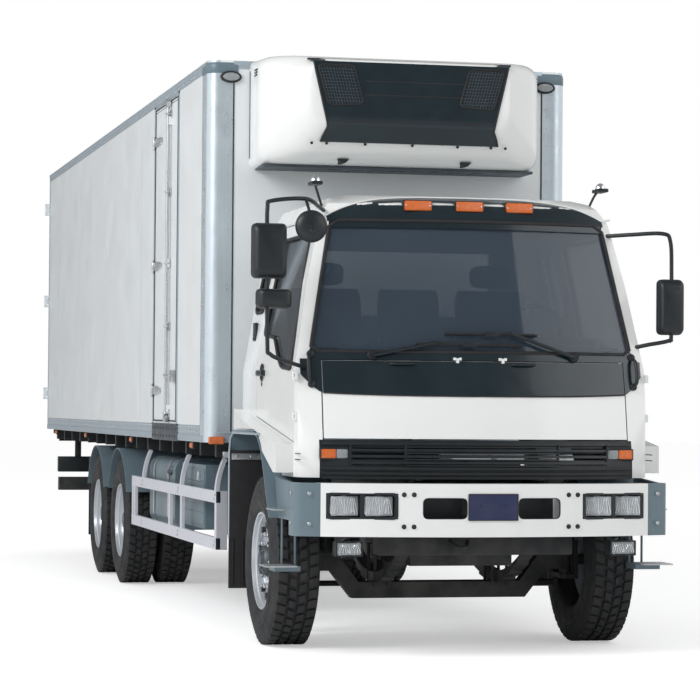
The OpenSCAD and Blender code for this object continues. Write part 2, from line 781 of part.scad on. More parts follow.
// Windscreen frame, corner panels and the opening for the lid and the grille.
module cab_front() {
    color("white") difference() {
        intersection() {
            cab_shell();
            ahead_of_doors();
        }
        along_x(x_front - 700, x_front + over) windscreen_outline(0);
        block(x_front - 300, x_front + over, -lid_half - gap, lid_half + gap, cab_low - over, lid_top + gap);
        block(x_front - 300, x_front + over, -grille_half, grille_half, cab_low - over, grille_top);
    }
    color("white") both_sides() for (y = [lid_hinge_y - 24, lid_hinge_y + 9])
        block(x_lid - 36, x_lid + barrel_pin_r, y, y + 15, z_lid - barrel_pin_r, z_lid + 12);
}
// Fixed halves of the doors' hinges, and the lid's pins between their lugs.
module cab_hinges() {
    color("white") both_sides() {
        for (z = door_hinge_z) door_hinge_fixed(z);
        bar_y(x_lid, z_lid, barrel_pin_r, lid_hinge_y - 9, lid_hinge_y + 9);
    }
}
// Side wall behind and under the door, with its quarter window and the moulding over the wing.
module cab_side() {
    difference() {
        intersection() {
            cab_shell();
            block(x_cab + skin, x_front, 0, cab_half, cab_low, eaves);
        }
        ahead_of_doors();
        along_y(0, cab_half + over) door_outline(0);
        along_y(0, cab_half + over) polygon([
            [x_cab + 100, 2080], [x_quarter - 90, 2080], [x_quarter - 90, 2480], [x_cab + 100, 2480]]);
    }
    difference() {
        along_y(cab_half - 1, fender_out - 5) polygon([
            [x_quarter - 200, arch_top], [x_quarter - 200, 1455], [x_quarter - 20, 1402], [x_hinge - 40, 1250],
            [x_hinge - 40, 1085], [x_hinge - 130, 1085], [x_axle1, arch_top]]);
        along_y(0, fender_out + over) fender_line(-15);
    }
}
module cab_side_right() {
    color("white") on_side(-1) cab_side();
}
module cab_side_left() {
    color("white") on_side(1) cab_side();
}
module windscreen() {
    color("lightblue") intersection() {
        difference() {
            cab_body(12);
            cab_body(12 + glass_t);
        }
        along_x(x_front - 700, x_front) windscreen_outline(0);
    }
}
// Slatted black grille under the lid.
module grille() {
    slats = 7;
    pitch = (grille_top - cab_low - 20) / slats;
    color("black") difference() {
        intersection() {
            difference() {
                cab_body(8);
                cab_body(skin);
            }
            block(x_front - 300, x_front + over, -grille_half, grille_half, cab_low, grille_top);
        }
        for (i = [0:slats - 1])
            block(x_front - 300, x_front + over, -grille_half + 190, grille_half - 190,
                  cab_low + 20 + i * pitch, cab_low + 4 + (i + 1) * pitch);
    }
}
// Lid over the service points under the windscreen, hinged along its top edge.
module front_lid() {
    color("white") intersection() {
        difference() {
            cab_body(0);
            cab_body(25);
        }
        block(x_front - 300, x_front + over, -lid_half, lid_half, lid_low, lid_top);
    }
    color("white") both_sides() difference() {
        union() {
            bar_y(x_lid, z_lid, barrel_r, lid_hinge_y - 8, lid_hinge_y + 8, $fn = 24);
            block(x_lid - 30, x_lid, lid_hinge_y - 8, lid_hinge_y + 8, z_lid - 20, z_lid - 10);
            block(x_lid - barrel_r, x_lid + barrel_r, lid_hinge_y - 8, lid_hinge_y + 8, z_lid - 20, z_lid);
        }
        bar_y(x_lid, z_lid, barrel_pin_r + play, lid_hinge_y - 20, lid_hinge_y + 20, $fn = 24);
    }
}
// A cab door with its window opening, its handle and the glass left out.
module cab_door() {
    difference() {
        intersection() {
            difference() {
                cab_body(0);
                cab_body(skin);
            }
            along_y(0, cab_half + over) door_outline(gap);
        }
        along_y(0, cab_half + over) door_window();
    }
    block(x_quarter + 130, x_quarter + 290, cab_half - 1, cab_half + 30, 1670, 1700);
    for (z = door_hinge_z) door_hinge_leaf(z);
}
module cab_door_right() {
    color("white") on_side(-1) cab_door();
}
module cab_door_left() {
    color("white") on_side(1) cab_door();
}
dash_back = x_hinge - 440;
// Dashboard with the steering column and wheel on the left.
module dashboard() {
    color("dimgray") {
        block(dash_back, x_hinge - 80, -cab_half + 150, cab_half - 150, 1560, 1850);
        translate([dash_back - 110, 500, 1930]) rotate([0, -55, 0]) {
            rotate_extrude() translate([220, 0]) circle(r = 16);
            cylinder(r = 45, h = 40, center = true);
            for (a = [0, 120, 240]) rotate([0, 0, a]) translate([30, -15, -6]) cube([185, 30, 12]);
            translate([0, 0, -260]) cylinder(r = 28, h = 260);
        }
    }
}
// Driver's seat, passenger's seat and the middle one.
module seats() {
    seat_low = cab_floor_z + 40;
    color("darkslategray") for (y = [-620, -60, 500]) {
        half = y == -60 ? 200 : 240;
        block(x_cab + 420, x_cab + 900, y - half, y + half, seat_low, seat_low + 260);
        along_y(y - half, y + half) polygon([
            [x_cab + 300, seat_low + 200], [x_cab + 420, seat_low + 200], [x_cab + 360, seat_low + 860],
            [x_cab + 250, seat_low + 860]]);
        block(x_cab + 310, x_cab + 425, y - half, y + half, seat_low, seat_low + 201);
    }
}

// A round bar through the points of a route, with a ball at each bend.
bar_sides = 20;
module bent_bar(route, r) {
    for (i = [0:len(route) - 2]) {
        d = route[i + 1] - route[i];
        translate(route[i]) rotate([0, acos(d[2] / norm(d)), atan2(d[1], d[0])]) cylinder(r = r, h = norm(d), $fn = bar_sides);
    }
    for (i = [1:len(route) - 2])
        translate(route[i]) sphere(r = r + 2, $fn = bar_sides);
}
arm_r = 12;
// Main, wide-angle and front-view mirrors on the passenger's side.
module mirror_right() {
    color("black") mirror([0, 1, 0]) difference() {
        union() {
            bent_bar([[x_front - 560, 820, eaves + 10], [x_front - 150, 1060, 2700], [x_front - 110, 1300, 2675],
                      [x_front - 110, 1290, 1780], [x_front - 260, cab_half - 90, 1706]], arm_r);
            block(x_front - 165, x_front - 75, 1176, 1384, 2225, 2550);
            block(x_front - 165, x_front - 75, 1145, 1355, 2050, 2165);
            bent_bar([[x_front - 150, 1060, 2700], [x_front - 55, 1047, 2560]], 10);
            translate([x_front - 60, 1047, 2531]) rotate([0, 90, 0]) cylinder(r = 95, h = 45, $fn = 48);
        }
        cab_body(0);
    }
}
// The driver's mirror on its own arm.
module mirror_left() {
    color("black") difference() {
        union() {
            bent_bar([[x_front - 470, 850, 2540], [x_front - 230, 1180, 2550], [x_front - 225, 1240, 2300],
                      [x_front - 225, 1240, 1900], [x_front - 340, cab_half - 110, 1850]], arm_r);
            block(x_front - 270, x_front - 185, 1158, 1320, 1930, 2270);
        }
        cab_body(0);
    }
}

// Steering and wheels ----------------------------------------------------------------------------

// Fork round the kingpin with the wheel's spindle and the steering arm, on the left.
module knuckle() {
    fork = eye_h / 2 + 8;
    difference() {
        union() {
            for (z = [hub_z - fork - ear_h, hub_z + fork]) {
                bar_z(x_axle1, kingpin_y, ear_r, z, z + ear_h);
                block(x_axle1 - ear_r, x_axle1 + ear_r, kingpin_y, kingpin_y + 74, z, z + ear_h);
            }
            block(x_axle1 - ear_r, x_axle1 + ear_r, kingpin_y + ear_r + 8, kingpin_y + 74,
                  hub_z - fork - ear_h, hub_z + fork + ear_h);
            block(x_axle1 - steer_arm - 25, x_axle1, kingpin_y - 20, kingpin_y + 20,
                  hub_z - fork - ear_h, hub_z - fork);
            bar_y(x_axle1, hub_z, spindle_r, kingpin_y + 70, front_y + 100);
        }
        bar_z(x_axle1, kingpin_y, kingpin_r + play, 0, 2 * hub_z);
        bar_z(x_axle1 - steer_arm, kingpin_y, ball_r, 0, hub_z);
    }
}
module knuckle_right() {
    color("dimgray") on_side(-1) knuckle();
}
module knuckle_left() {
    color("dimgray") on_side(1) knuckle();
}
// Track rod behind the axle, under the two steering arms.
module tie_rod() {
    rod_top = hub_z - eye_h / 2 - 8 - ear_h - 9;
    color("gray") {
        bar_y(x_axle1 - steer_arm, rod_top - 25, tie_rod_r, -kingpin_y, kingpin_y);
        for (s = [-1, 1]) {
            bar_z(x_axle1 - steer_arm, s * kingpin_y, 26, rod_top - 50, rod_top);
            bar_z(x_axle1 - steer_arm, s * kingpin_y, ball_r - play, rod_top, rod_top + 9 + ear_h);
        }
    }
}

bead_in = rim_r - 26;
barrel_in = rim_r - 38;
bead_half = tyre_w / 2 - 23;
flange_t = 10;

// A solid of revolution about a wheel's own axis, its outer face towards +Y.
module wheel_ring() {
    rotate([-90, 0, 0]) rotate_extrude() children();
}
module tyre() {
    wheel_ring() polygon([
        [bead_in, -bead_half], [rim_r + 4, -bead_half], [rim_r + 30, -tyre_w / 2 + 8], [rim_r + 90, -tyre_w / 2],
        [tyre_r - 70, -tyre_w / 2 + 4], [tyre_r - 15, -tyre_w / 2 + 22], [tyre_r, -tyre_w / 2 + 50],
        [tyre_r, tyre_w / 2 - 50], [tyre_r - 15, tyre_w / 2 - 22], [tyre_r - 70, tyre_w / 2 - 4],
        [rim_r + 90, tyre_w / 2], [rim_r + 30, tyre_w / 2 - 8], [rim_r + 4, bead_half], [bead_in, bead_half]]);
}
// A rim centred at c, whose disc meets the hub between the heights d0 and d1 and the barrel at d2.
module rim(c, hub_r, d0, d1, d2) {
    end = bead_half + flange_t;
    wheel_ring() polygon([
        [hub_r, d0], [barrel_in - 60, d0], [barrel_in, d2 - 8], [barrel_in, c - end], [rim_r, c - end],
        [rim_r, c - bead_half], [bead_in, c - bead_half], [bead_in, c + bead_half], [rim_r, c + bead_half],
        [rim_r, c + end], [barrel_in, c + end], [barrel_in, d2 + 8], [barrel_in - 60, d1], [hub_r, d1]]);
}
// Steered wheel: tyre, rim and the hub that turns on the spindle, on the left.
module front_wheel() {
    translate([x_axle1, front_y, hub_z]) {
        color("black") tyre();
        color("silver") union() {
            rim(0, 90, 70, 88, 40);
            wheel_ring() polygon([
                [spindle_r + play, -95], [95, -95], [95, 95], [70, 105], [70, 128], [0, 128], [0, 112],
                [spindle_r + play, 112]]);
        }
    }
}
// Driven twin wheels: two tyres, two rims and one hub on the axle's stub, on the left.
module twin_wheel(x) {
    off = twin_gap / 2;
    bore = spindle_r + 10 + play;
    translate([x, rear_y, hub_z]) {
        color("black") for (s = [-1, 1]) translate([0, s * off, 0]) tyre();
        color("silver") union() {
            rim(off, 100, 1, 19, 70);
            mirror([0, 1, 0]) rim(off, 100, 1, 19, 70);
            wheel_ring() polygon([
                [bore, -190], [110, -190], [110, 120], [95, 200], [60, 215], [0, 215], [0, 110], [bore, 110]]);
        }
    }
}
module front_wheel_right() on_side(-1) front_wheel();
module front_wheel_left() on_side(1) front_wheel();
module rear_wheel_1_right() on_side(-1) twin_wheel(x_axle2);
module rear_wheel_1_left() on_side(1) twin_wheel(x_axle2);
module rear_wheel_2_right() on_side(-1) twin_wheel(x_axle3);
module rear_wheel_2_left() on_side(1) twin_wheel(x_axle3);

frame_rails();
cross_members();
subframe();
floor_bearers();
front_axle();
leaf_springs();
rear_axles();
propshaft();
engine_block();
fuel_tank();
side_boxes();
bumper();
bumper_caps();
front_lamps();
front_fenders();
rear_mudguards();
side_guard_right();
side_guard_left();
underrun_bar();
box_floor();
box_wall_right();
box_wall_left();
box_front_wall();
box_roof();
rear_frame();
corner_posts();
cooling_unit();
side_door();
rear_door_right();
rear_door_left();
cab_floor();
cab_back();
cab_roof();
cab_front();
cab_hinges();
cab_side_right();
cab_side_left();
windscreen();
grille();
dashboard();
seats();
mirror_right();
mirror_left();
front_lid();
cab_door_right();
cab_door_left();
knuckle_right();
knuckle_left();
tie_rod();
front_wheel_right();
front_wheel_left();
rear_wheel_1_right();
rear_wheel_1_left();
rear_wheel_2_right();
rear_wheel_2_left();
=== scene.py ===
"""Refrigerated truck: the looks of every surface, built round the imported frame.

+X is forward, +Y is the truck's left, +Z is up, in metres. The origin is on the ground under the middle.
"""

import math

import bmesh
import bpy
from mathutils import Matrix, Vector


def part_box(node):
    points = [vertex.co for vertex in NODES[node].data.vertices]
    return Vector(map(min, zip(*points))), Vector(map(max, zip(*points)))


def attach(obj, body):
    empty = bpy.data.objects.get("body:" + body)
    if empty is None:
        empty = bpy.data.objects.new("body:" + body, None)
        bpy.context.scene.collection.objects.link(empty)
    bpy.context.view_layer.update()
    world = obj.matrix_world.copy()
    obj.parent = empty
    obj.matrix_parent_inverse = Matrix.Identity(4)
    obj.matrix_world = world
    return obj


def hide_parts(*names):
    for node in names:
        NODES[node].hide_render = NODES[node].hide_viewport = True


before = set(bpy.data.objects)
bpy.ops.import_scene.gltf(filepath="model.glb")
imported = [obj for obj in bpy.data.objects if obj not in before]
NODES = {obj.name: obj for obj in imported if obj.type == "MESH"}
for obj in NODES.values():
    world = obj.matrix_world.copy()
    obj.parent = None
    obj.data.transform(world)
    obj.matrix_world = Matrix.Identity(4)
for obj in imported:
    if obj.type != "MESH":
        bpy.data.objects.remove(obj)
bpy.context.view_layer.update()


# Stations read from the frame ---------------------------------------------------------------------

bumper_lo, bumper_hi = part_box("bumper")
wall_lo, wall_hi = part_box("box_wall_left")
cooler_lo, cooler_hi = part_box("cooling_unit")
wheel_lo, wheel_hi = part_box("front_wheel_left")

X_BUMPER = bumper_hi.x
X_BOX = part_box("box_front_wall")[1].x
X_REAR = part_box("rear_door_left")[0].x + 0.042
X_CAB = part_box("cab_back")[0].x
X_FRONT = X_BUMPER - 0.195
HALF_W = wall_hi.y
BOX_LOW = wall_lo.z
BOX_TOP = wall_hi.z
CAB_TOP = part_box("cab_roof")[1].z
X_AXLE = (wheel_lo.x + wheel_hi.x) / 2
TYRE_R = (wheel_hi.z - wheel_lo.z) / 2
HUB_Z = TYRE_R
SIDES = (("right", -1), ("left", 1))


# Materials ----------------------------------------------------------------------------------------


def feed(tree, socket, value):
    """Sets a socket to a number or colour, or links it to the output that drives it."""
    if isinstance(value, bpy.types.NodeSocket):
        tree.links.new(value, socket)
    else:
        socket.default_value = value


def add_node(tree, kind, settings=None, **inputs):
    """Adds a node to a tree, with its settings first and then its inputs by name."""
    node = tree.nodes.new(kind)
    for key, value in (settings or {}).items():
        setattr(node, key, value)
    for key, value in inputs.items():
        feed(tree, node.inputs[key.replace("_", " ")], value)
    return node


def add_math(tree, operation, *values):
    node = add_node(tree, "ShaderNodeMath", {"operation": operation})
    for socket, value in zip(node.inputs, values):
        feed(tree, socket, value)
    return node.outputs[0]


class Shader:
    """A principled material whose colour, roughness and bump come from procedural nodes."""

    def __init__(self, name, color, rough=0.5, metal=0.0, **sockets):
        self.mat = bpy.data.materials.new(name)
        self.mat.use_nodes = True
        self.tree = self.mat.node_tree
        self.bsdf = self.tree.nodes["Principled BSDF"]
        values = {"Base Color": (*color, 1), "Roughness": rough, "Metallic": metal}
        values.update({key.replace("_", " "): value for key, value in sockets.items()})
        for key, value in values.items():
            self.bsdf.inputs[key].default_value = value
        self.coord = self.tree.nodes.new("ShaderNodeTexCoord").outputs["Object"]
        self.normal = None

    def add(self, kind, output, settings=None, **inputs):
        return add_node(self.tree, kind, settings, **inputs).outputs[output]

    def scaled(self, scale):
        """Object coordinates stretched by a scale on each axis."""
        return self.add("ShaderNodeMapping", "Vector", Scale=scale, Vector=self.coord)

    def noise(self, scale, detail=4, stretch=(1, 1, 1)):
        return self.add("ShaderNodeTexNoise", "Fac", Scale=scale, Detail=detail,
            Vector=self.scaled(stretch))

    def waves(self, scale, direction="X"):
        return self.add("ShaderNodeTexWave", "Fac", {"bands_direction": direction}, Scale=scale,
            Distortion=0.0, Vector=self.coord)

    def cells(self, scale):
        return self.add("ShaderNodeTexVoronoi", "Distance", Scale=scale, Vector=self.scaled((1, 1, 1)))

    def remap(self, value, lo, hi, to_lo=0.0, to_hi=1.0):
        return self.add("ShaderNodeMapRange", "Result", From_Min=lo, From_Max=hi, To_Min=to_lo,
            To_Max=to_hi, Value=value)

    def height(self, lo, hi):
        """1 at the height lo above the ground, falling to 0 at hi."""
        return self.remap(self.add("ShaderNodeSeparateXYZ", "Z", Vector=self.coord), lo, hi, 1.0, 0.0)

    def times(self, a, b):
        return add_math(self.tree, "MULTIPLY", a, b)

    def tint(self, factor, color):
        """Mixes a colour over the base colour where factor is high."""
        base = self.bsdf.inputs["Base Color"]
        under = base.links[0].from_socket if base.links else base.default_value
        mixed = self.add("ShaderNodeMix", "Result", {"data_type": "RGBA"}, Factor=factor, A=under,
            B=(*color, 1))
        self.tree.links.new(mixed, base)
        return self

    def gloss(self, factor, lo, hi):
        """Varies the roughness between lo and hi with factor."""
        self.tree.links.new(self.remap(factor, 0.3, 0.7, lo, hi), self.bsdf.inputs["Roughness"])
        return self

    def bump(self, factor, depth, strength=1.0):
        """Raises the surface by depth in metres where factor is high, on top of the bumps so far."""
        before = {"Normal": self.normal} if self.normal else {}
        self.normal = self.add("ShaderNodeBump", "Normal", Distance=depth, Strength=strength, Height=factor,
            **before)
        self.tree.links.new(self.normal, self.bsdf.inputs["Normal"])
        return self


def painted(name, color, rough, dust=0.25, peel=0.0003, dust_color=(0.30, 0.28, 0.25), **sockets):
    """Sprayed paint: faint orange peel, slow shifts of tone and road dust low down."""
    sh = Shader(name, color, rough, **sockets)
    sh.tint(sh.remap(sh.noise(1.4, 5), 0.42, 0.75, 0.0, 0.10), [c * 0.78 for c in color])
    film = sh.times(sh.height(0.3, 1.5), sh.remap(sh.noise(7.0, 6), 0.35, 0.75))
    sh.tint(sh.times(film, dust), dust_color)
    sh.gloss(sh.noise(3.0, 5), rough * 0.85, min(1.0, rough * 1.25))
    sh.bump(sh.noise(120.0, 2), peel)
    return sh


def brushed(name, color, rough, stretch, metal=1.0):
    """Metal brushed or extruded along one axis, with faint streaks and handling marks."""
    sh = Shader(name, color, rough, metal)
    grain = sh.noise(1.0, 6, stretch)
    sh.tint(sh.remap(grain, 0.4, 0.7, 0.0, 0.35), [c * 0.72 for c in color])
    sh.gloss(sh.noise(9.0, 5), rough * 0.8, rough * 1.35)
    sh.bump(grain, 0.0003, 0.6)
    return sh


def moulded(name, color, rough, grain=320.0, depth=0.0002, **sockets):
    """Moulded plastic or rubber with a fine leathered grain."""
    sh = Shader(name, color, rough, **sockets)
    sh.tint(sh.remap(sh.noise(5.0, 5), 0.4, 0.75, 0.0, 0.35), [min(1, c * 1.6 + 0.01) for c in color])
    sh.gloss(sh.noise(11.0, 4), rough * 0.85, min(1.0, rough * 1.2))
    sh.bump(sh.cells(grain), depth)
    return sh


def lens(name, color, rough=0.08, ribs=260.0, direction="Z", **sockets):
    """A clear or coloured lamp lens with moulded optic ribs."""
    sh = Shader(name, color, rough, **sockets)
    sh.tint(sh.remap(sh.noise(40.0, 3), 0.4, 0.7, 0.0, 0.3), [c * 0.6 for c in color])
    sh.bump(sh.waves(ribs, direction), 0.0012, 0.7)
    sh.bump(sh.cells(90.0), 0.0006, 0.5)
    return sh


def tyre_rubber():
    sh = Shader("tyre_rubber", (0.018, 0.019, 0.021), 0.75)
    sh.tint(sh.remap(sh.noise(6.0, 6), 0.45, 0.8, 0.0, 0.5), (0.05, 0.048, 0.045))
    sh.gloss(sh.noise(14.0, 5), 0.62, 0.9)
    sh.bump(sh.noise(160.0, 3), 0.0006, 0.7)
    return sh


def seat_cloth():
    sh = Shader("seat_cloth", (0.10, 0.115, 0.14), 0.9, Sheen_Weight=0.4)
    sh.tint(sh.remap(sh.noise(14.0, 5), 0.4, 0.7, 0.0, 0.4), (0.06, 0.07, 0.09))
    sh.bump(sh.waves(90.0, "X"), 0.0009, 0.6)
    sh.bump(sh.waves(90.0, "Z"), 0.0009, 0.6)
    return sh


def window(name, color, alpha):
    """Tinted glass, faintly uneven and faintly dusty."""
    sh = Shader(name, color, 0.03, Alpha=alpha, Specular_IOR_Level=0.6)
    sh.tint(sh.remap(sh.noise(1.2, 4), 0.4, 0.7, 0.0, 0.25), [min(1, c * 1.5) for c in color])
    sh.gloss(sh.noise(5.0, 5), 0.02, 0.07)
    sh.bump(sh.noise(1.5, 2), 0.0008, 0.4)
    return sh


MAT = {"cab_paint": painted("cab_paint", (0.80, 0.815, 0.81), 0.22, 0.10, Coat_Weight=0.4,
        Coat_Roughness=0.06), "box_skin": painted("box_skin", (0.74, 0.775, 0.79), 0.34, 0.12, 0.0006),
    "wing_paint": painted("wing_paint", (0.125, 0.180, 0.215), 0.38, 0.18),
    "frame_paint": painted("frame_paint", (0.012, 0.014, 0.016), 0.6, 0.18, 0.0008),
    "engine_paint": painted("engine_paint", (0.022, 0.024, 0.027), 0.7, 0.25, 0.0012),
    "floor_skin": painted("floor_skin", (0.42, 0.44, 0.45), 0.5, 0.2, 0.0012),
    "plate_blue": painted("plate_blue", (0.012, 0.02, 0.075), 0.4, 0.1),
    "wheel_silver": painted("wheel_silver", (0.60, 0.64, 0.69), 0.30, 0.18, 0.0003, Metallic=0.55),
    "guard_alu": brushed("guard_alu", (0.72, 0.73, 0.80), 0.40, (3, 420, 420), 0.45),
    "post_alu": brushed("post_alu", (0.60, 0.68, 0.74), 0.32, (420, 420, 3), 0.55),
    "rail_alu": brushed("rail_alu", (0.42, 0.50, 0.56), 0.36, (3, 420, 420), 0.5),
    "stainless": brushed("stainless", (0.56, 0.58, 0.60), 0.28, (300, 300, 8), 0.75),
    "dark_steel": brushed("dark_steel", (0.10, 0.115, 0.13), 0.45, (8, 300, 300), 0.7),
    "chrome": brushed("chrome", (0.85, 0.87, 0.89), 0.08, (40, 40, 40)),
    "black_plastic": moulded("black_plastic", (0.006, 0.010, 0.013), 0.42),
    "belt_black": moulded("belt_black", (0.003, 0.013, 0.019), 0.22, 60.0, 0.0001, Coat_Weight=0.2),
    "cab_trim": moulded("cab_trim", (0.075, 0.08, 0.085), 0.7),
    "rubber": moulded("rubber", (0.012, 0.012, 0.014), 0.65, 500.0),
    "slate_plastic": moulded("slate_plastic", (0.045, 0.06, 0.075), 0.5),
    "amber": lens("amber", (0.80, 0.16, 0.012), Specular_IOR_Level=0.6),
    "red": lens("red", (0.42, 0.012, 0.012)), "clear_lens": lens("clear_lens", (0.80, 0.86, 0.90), 0.04,
        190.0, "Y", Alpha=0.42), "mirror": brushed("mirror", (0.80, 0.83, 0.86), 0.04, (2, 2, 2)),
    "tyre": tyre_rubber(), "seat_cloth": seat_cloth(), "windscreen": window("windscreen_glass",
        (0.040, 0.060, 0.085), 0.70), "side_glass": window("side_glass", (0.045, 0.060, 0.075), 0.50),}


def coat(obj, key):
    """Gives an object one of the materials."""
    obj.data.materials.clear()
    obj.data.materials.append(MAT[key].mat)


# Piece making -------------------------------------------------------------------------------------


def band(n, a, b):
    """Faces that join two closed rings of n points, starting at points a and b."""
    return [(a + i, a + (i + 1) % n, b + (i + 1) % n, b + i) for i in range(n)]


def ends(n, count):
    """The two end faces of a run of rings of n points, count points in all."""
    return [tuple(range(n - 1, -1, -1)), tuple(range(count - n, count))]


class Piece:
    """Mesh parts gathered into one object, which then rides on a body."""

    def __init__(self, name):
        self.name = name
        self.bm = bmesh.new()

    def add(self, verts, faces):
        made = [self.bm.verts.new(v) for v in verts]
        for f in faces:
            self.bm.faces.new([made[i] for i in f])
        return made

    def soften(self, made, bevel, segments):
        """Rounds every edge that meets the given points."""
        if bevel:
            edges = list(dict.fromkeys(e for v in made for e in v.link_edges))
            bmesh.ops.bevel(self.bm, geom=edges, offset=bevel, segments=segments, profile=0.6,
                affect="EDGES")

    def block(self, a, b, bevel=0.0, segments=2):
        """A box between two corners, its edges rounded by bevel."""
        lo, hi = Vector(list(map(min, a, b))), Vector(list(map(max, a, b)))
        size = hi - lo
        at = Matrix.Translation((lo + hi) / 2) @ Matrix.Diagonal((*size, 1))
        made = bmesh.ops.create_cube(self.bm, size=1, matrix=at)["verts"]
        self.soften(made, min(bevel, min(size) * 0.45), segments)
        return self

    def prism(self, points, axis, lo, hi, bevel=0.0):
        """A polygon of two coordinates, drawn out along axis from lo to hi."""
        order = {"x": (2, 0, 1), "y": (0, 2, 1), "z": (0, 1, 2)}[axis]
        n = len(points)
        verts = []
        for h in (lo, hi):
            for p in points:
                row = (p[0], p[1], h)
                verts.append(tuple(row[order[k]] for k in range(3)))
        self.soften(self.add(verts, ends(n, 2 * n) + band(n, 0, n)), bevel, 2)
        return self

    def lathe(self, centre, axis, profile, n=48, closed=True):
        """(radius, height) points turned about an axis through centre."""
        axis = Vector(axis).normalized()
        side = axis.orthogonal().normalized()
        other = axis.cross(side)
        centre = Vector(centre)
        verts = []
        for k in range(n):
            a = math.tau * k / n
            spoke = side * math.cos(a) + other * math.sin(a)
            verts += [centre + spoke * max(r, 1e-4) + axis * h for r, h in profile]
        m = len(profile)
        faces = []
        for k in range(n):
            for j in range(m if closed else m - 1):
                a, b = k * m + j, k * m + (j + 1) % m
                c, d = ((k + 1) % n) * m + (j + 1) % m, ((k + 1) % n) * m + j
                faces.append((a, b, c, d))
        self.add(verts, faces)
        return self

    def disc(self, centre, axis, r, h, bevel=0.002, n=24):
        """A short round boss on a surface, its outer edge rounded."""
        return self.lathe(centre, axis, [(0, 0), (r, 0), (r, h - bevel), (r - bevel, h), (0, h)], n)

    def tube(self, path, r, n=12, width=None):
        """A round bar, or a flat oval of another width, along a path of points."""
        path = [Vector(p) for p in path]
        normal = (path[1] - path[0]).orthogonal().normalized()
        if width:
            normal = Vector((1, 0, 0))
        rings = []
        for i, p in enumerate(path):
            ahead = (path[min(i + 1, len(path) - 1)] - path[max(i - 1, 0)]).normalized()
            normal = (normal - ahead * normal.dot(ahead)).normalized()
            side = ahead.cross(normal)
            for k in range(n):
                a = math.tau * k / n
                rings.append(p + normal * math.cos(a) * (width or r) + side * math.sin(a) * r)
        faces = ends(n, len(rings))
        for i in range(len(path) - 1):
            faces += band(n, i * n, i * n + n)
        self.add(rings, faces)
        return self

    def done(self, body, key, smooth=38, slot=None, replaces=()):
        """Finishes the object, gives it its material and fixes it to its body."""
        bmesh.ops.recalc_face_normals(self.bm, faces=self.bm.faces)
        limit = math.radians(smooth)
        for f in self.bm.faces:
            f.smooth = True
        for e in self.bm.edges:
            e.smooth = len(e.link_faces) == 2 and e.calc_face_angle(0) < limit
        mesh = bpy.data.meshes.new(self.name)
        self.bm.to_mesh(mesh)
        self.bm.free()
        obj = bpy.data.objects.new(self.name, mesh)
        bpy.context.scene.collection.objects.link(obj)
        coat(obj, key)
        if replaces:
            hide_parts(*replaces)
        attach(obj, body)
        return obj


def slab(piece, front, rear):
    """Closes two outlines with the same number of points into one slab."""
    m = len(front)
    faces = [tuple(range(m)), tuple(range(2 * m - 1, m - 1, -1))]
    faces += [(i, m + i, m + (i + 1) % m, (i + 1) % m) for i in range(m)]
    piece.add(front + rear, faces)


def smooth_path(points, n=6):
    """Points along a smooth curve through the given ones."""
    pts = [Vector(p) for p in points]
    out = []
    for i in range(len(pts) - 1):
        before, a, b, after = pts[max(i - 1, 0)], pts[i], pts[i + 1], pts[min(i + 2, len(pts) - 1)]
        for k in range(n):
            t = k / n
            out.append(0.5 * (2 * a + (b - before) * t + (2 * before - 5 * a + 4 * b - after) * t * t
                    + (3 * a - before - 3 * b + after) * t ** 3))
    out.append(pts[-1])
    return out


def rounded(points, radius, n=5):
    """A 2D outline with each corner turned into an arc of about that radius."""
    out = []
    m = len(points)
    for i in range(m):
        a, b, c = Vector(points[i - 1]), Vector(points[i]), Vector(points[(i + 1) % m])
        reach = min(radius, (a - b).length * 0.45, (c - b).length * 0.45)
        start, end = b + (a - b).normalized() * reach, b + (c - b).normalized() * reach
        for k in range(n + 1):
            t = k / n
            out.append(tuple((1 - t) ** 2 * start + 2 * t * (1 - t) * b + t * t * end))
    return out


# CAD pieces that keep their shape -----------------------------------------------------------------

KEPT = {"frame_paint": ["frame_rails", "cross_members", "subframe", "floor_bearers", "front_axle",
        "leaf_springs", "rear_axles", "propshaft", "underrun_bar", "knuckle_right", "knuckle_left",
        "tie_rod"], "engine_paint": ["engine_block"], "wing_paint": ["fuel_tank", "side_boxes",
        "bumper_caps", "front_fenders", "rear_mudguards"], "cab_paint": ["bumper", "cab_roof", "cab_back",
        "cab_front", "cab_hinges", "cab_side_right", "cab_side_left", "front_lid", "cab_door_right",
        "cab_door_left", "cooling_unit"], "clear_lens": ["front_lamps"],
    "guard_alu": ["side_guard_right", "side_guard_left"], "box_skin": ["box_wall_right", "box_wall_left",
        "box_front_wall", "box_roof", "side_door", "rear_door_right", "rear_door_left"],
    "floor_skin": ["box_floor"], "post_alu": ["rear_frame", "corner_posts"],
    "black_plastic": ["grille", "mirror_right", "mirror_left", "dashboard"], "cab_trim": ["cab_floor"],
    "windscreen": ["windscreen"], "seat_cloth": ["seats"], "tyre": ["front_wheel_right", "front_wheel_left",
        "rear_wheel_1_right", "rear_wheel_1_left", "rear_wheel_2_right", "rear_wheel_2_left"],}
for key, names in KEPT.items():
    for name in names:
        coat(NODES[name], key)


# Wheels -------------------------------------------------------------------------------------------

LUGS = 46
TWIN_TYRE_W = 0.29
STUDS = 10


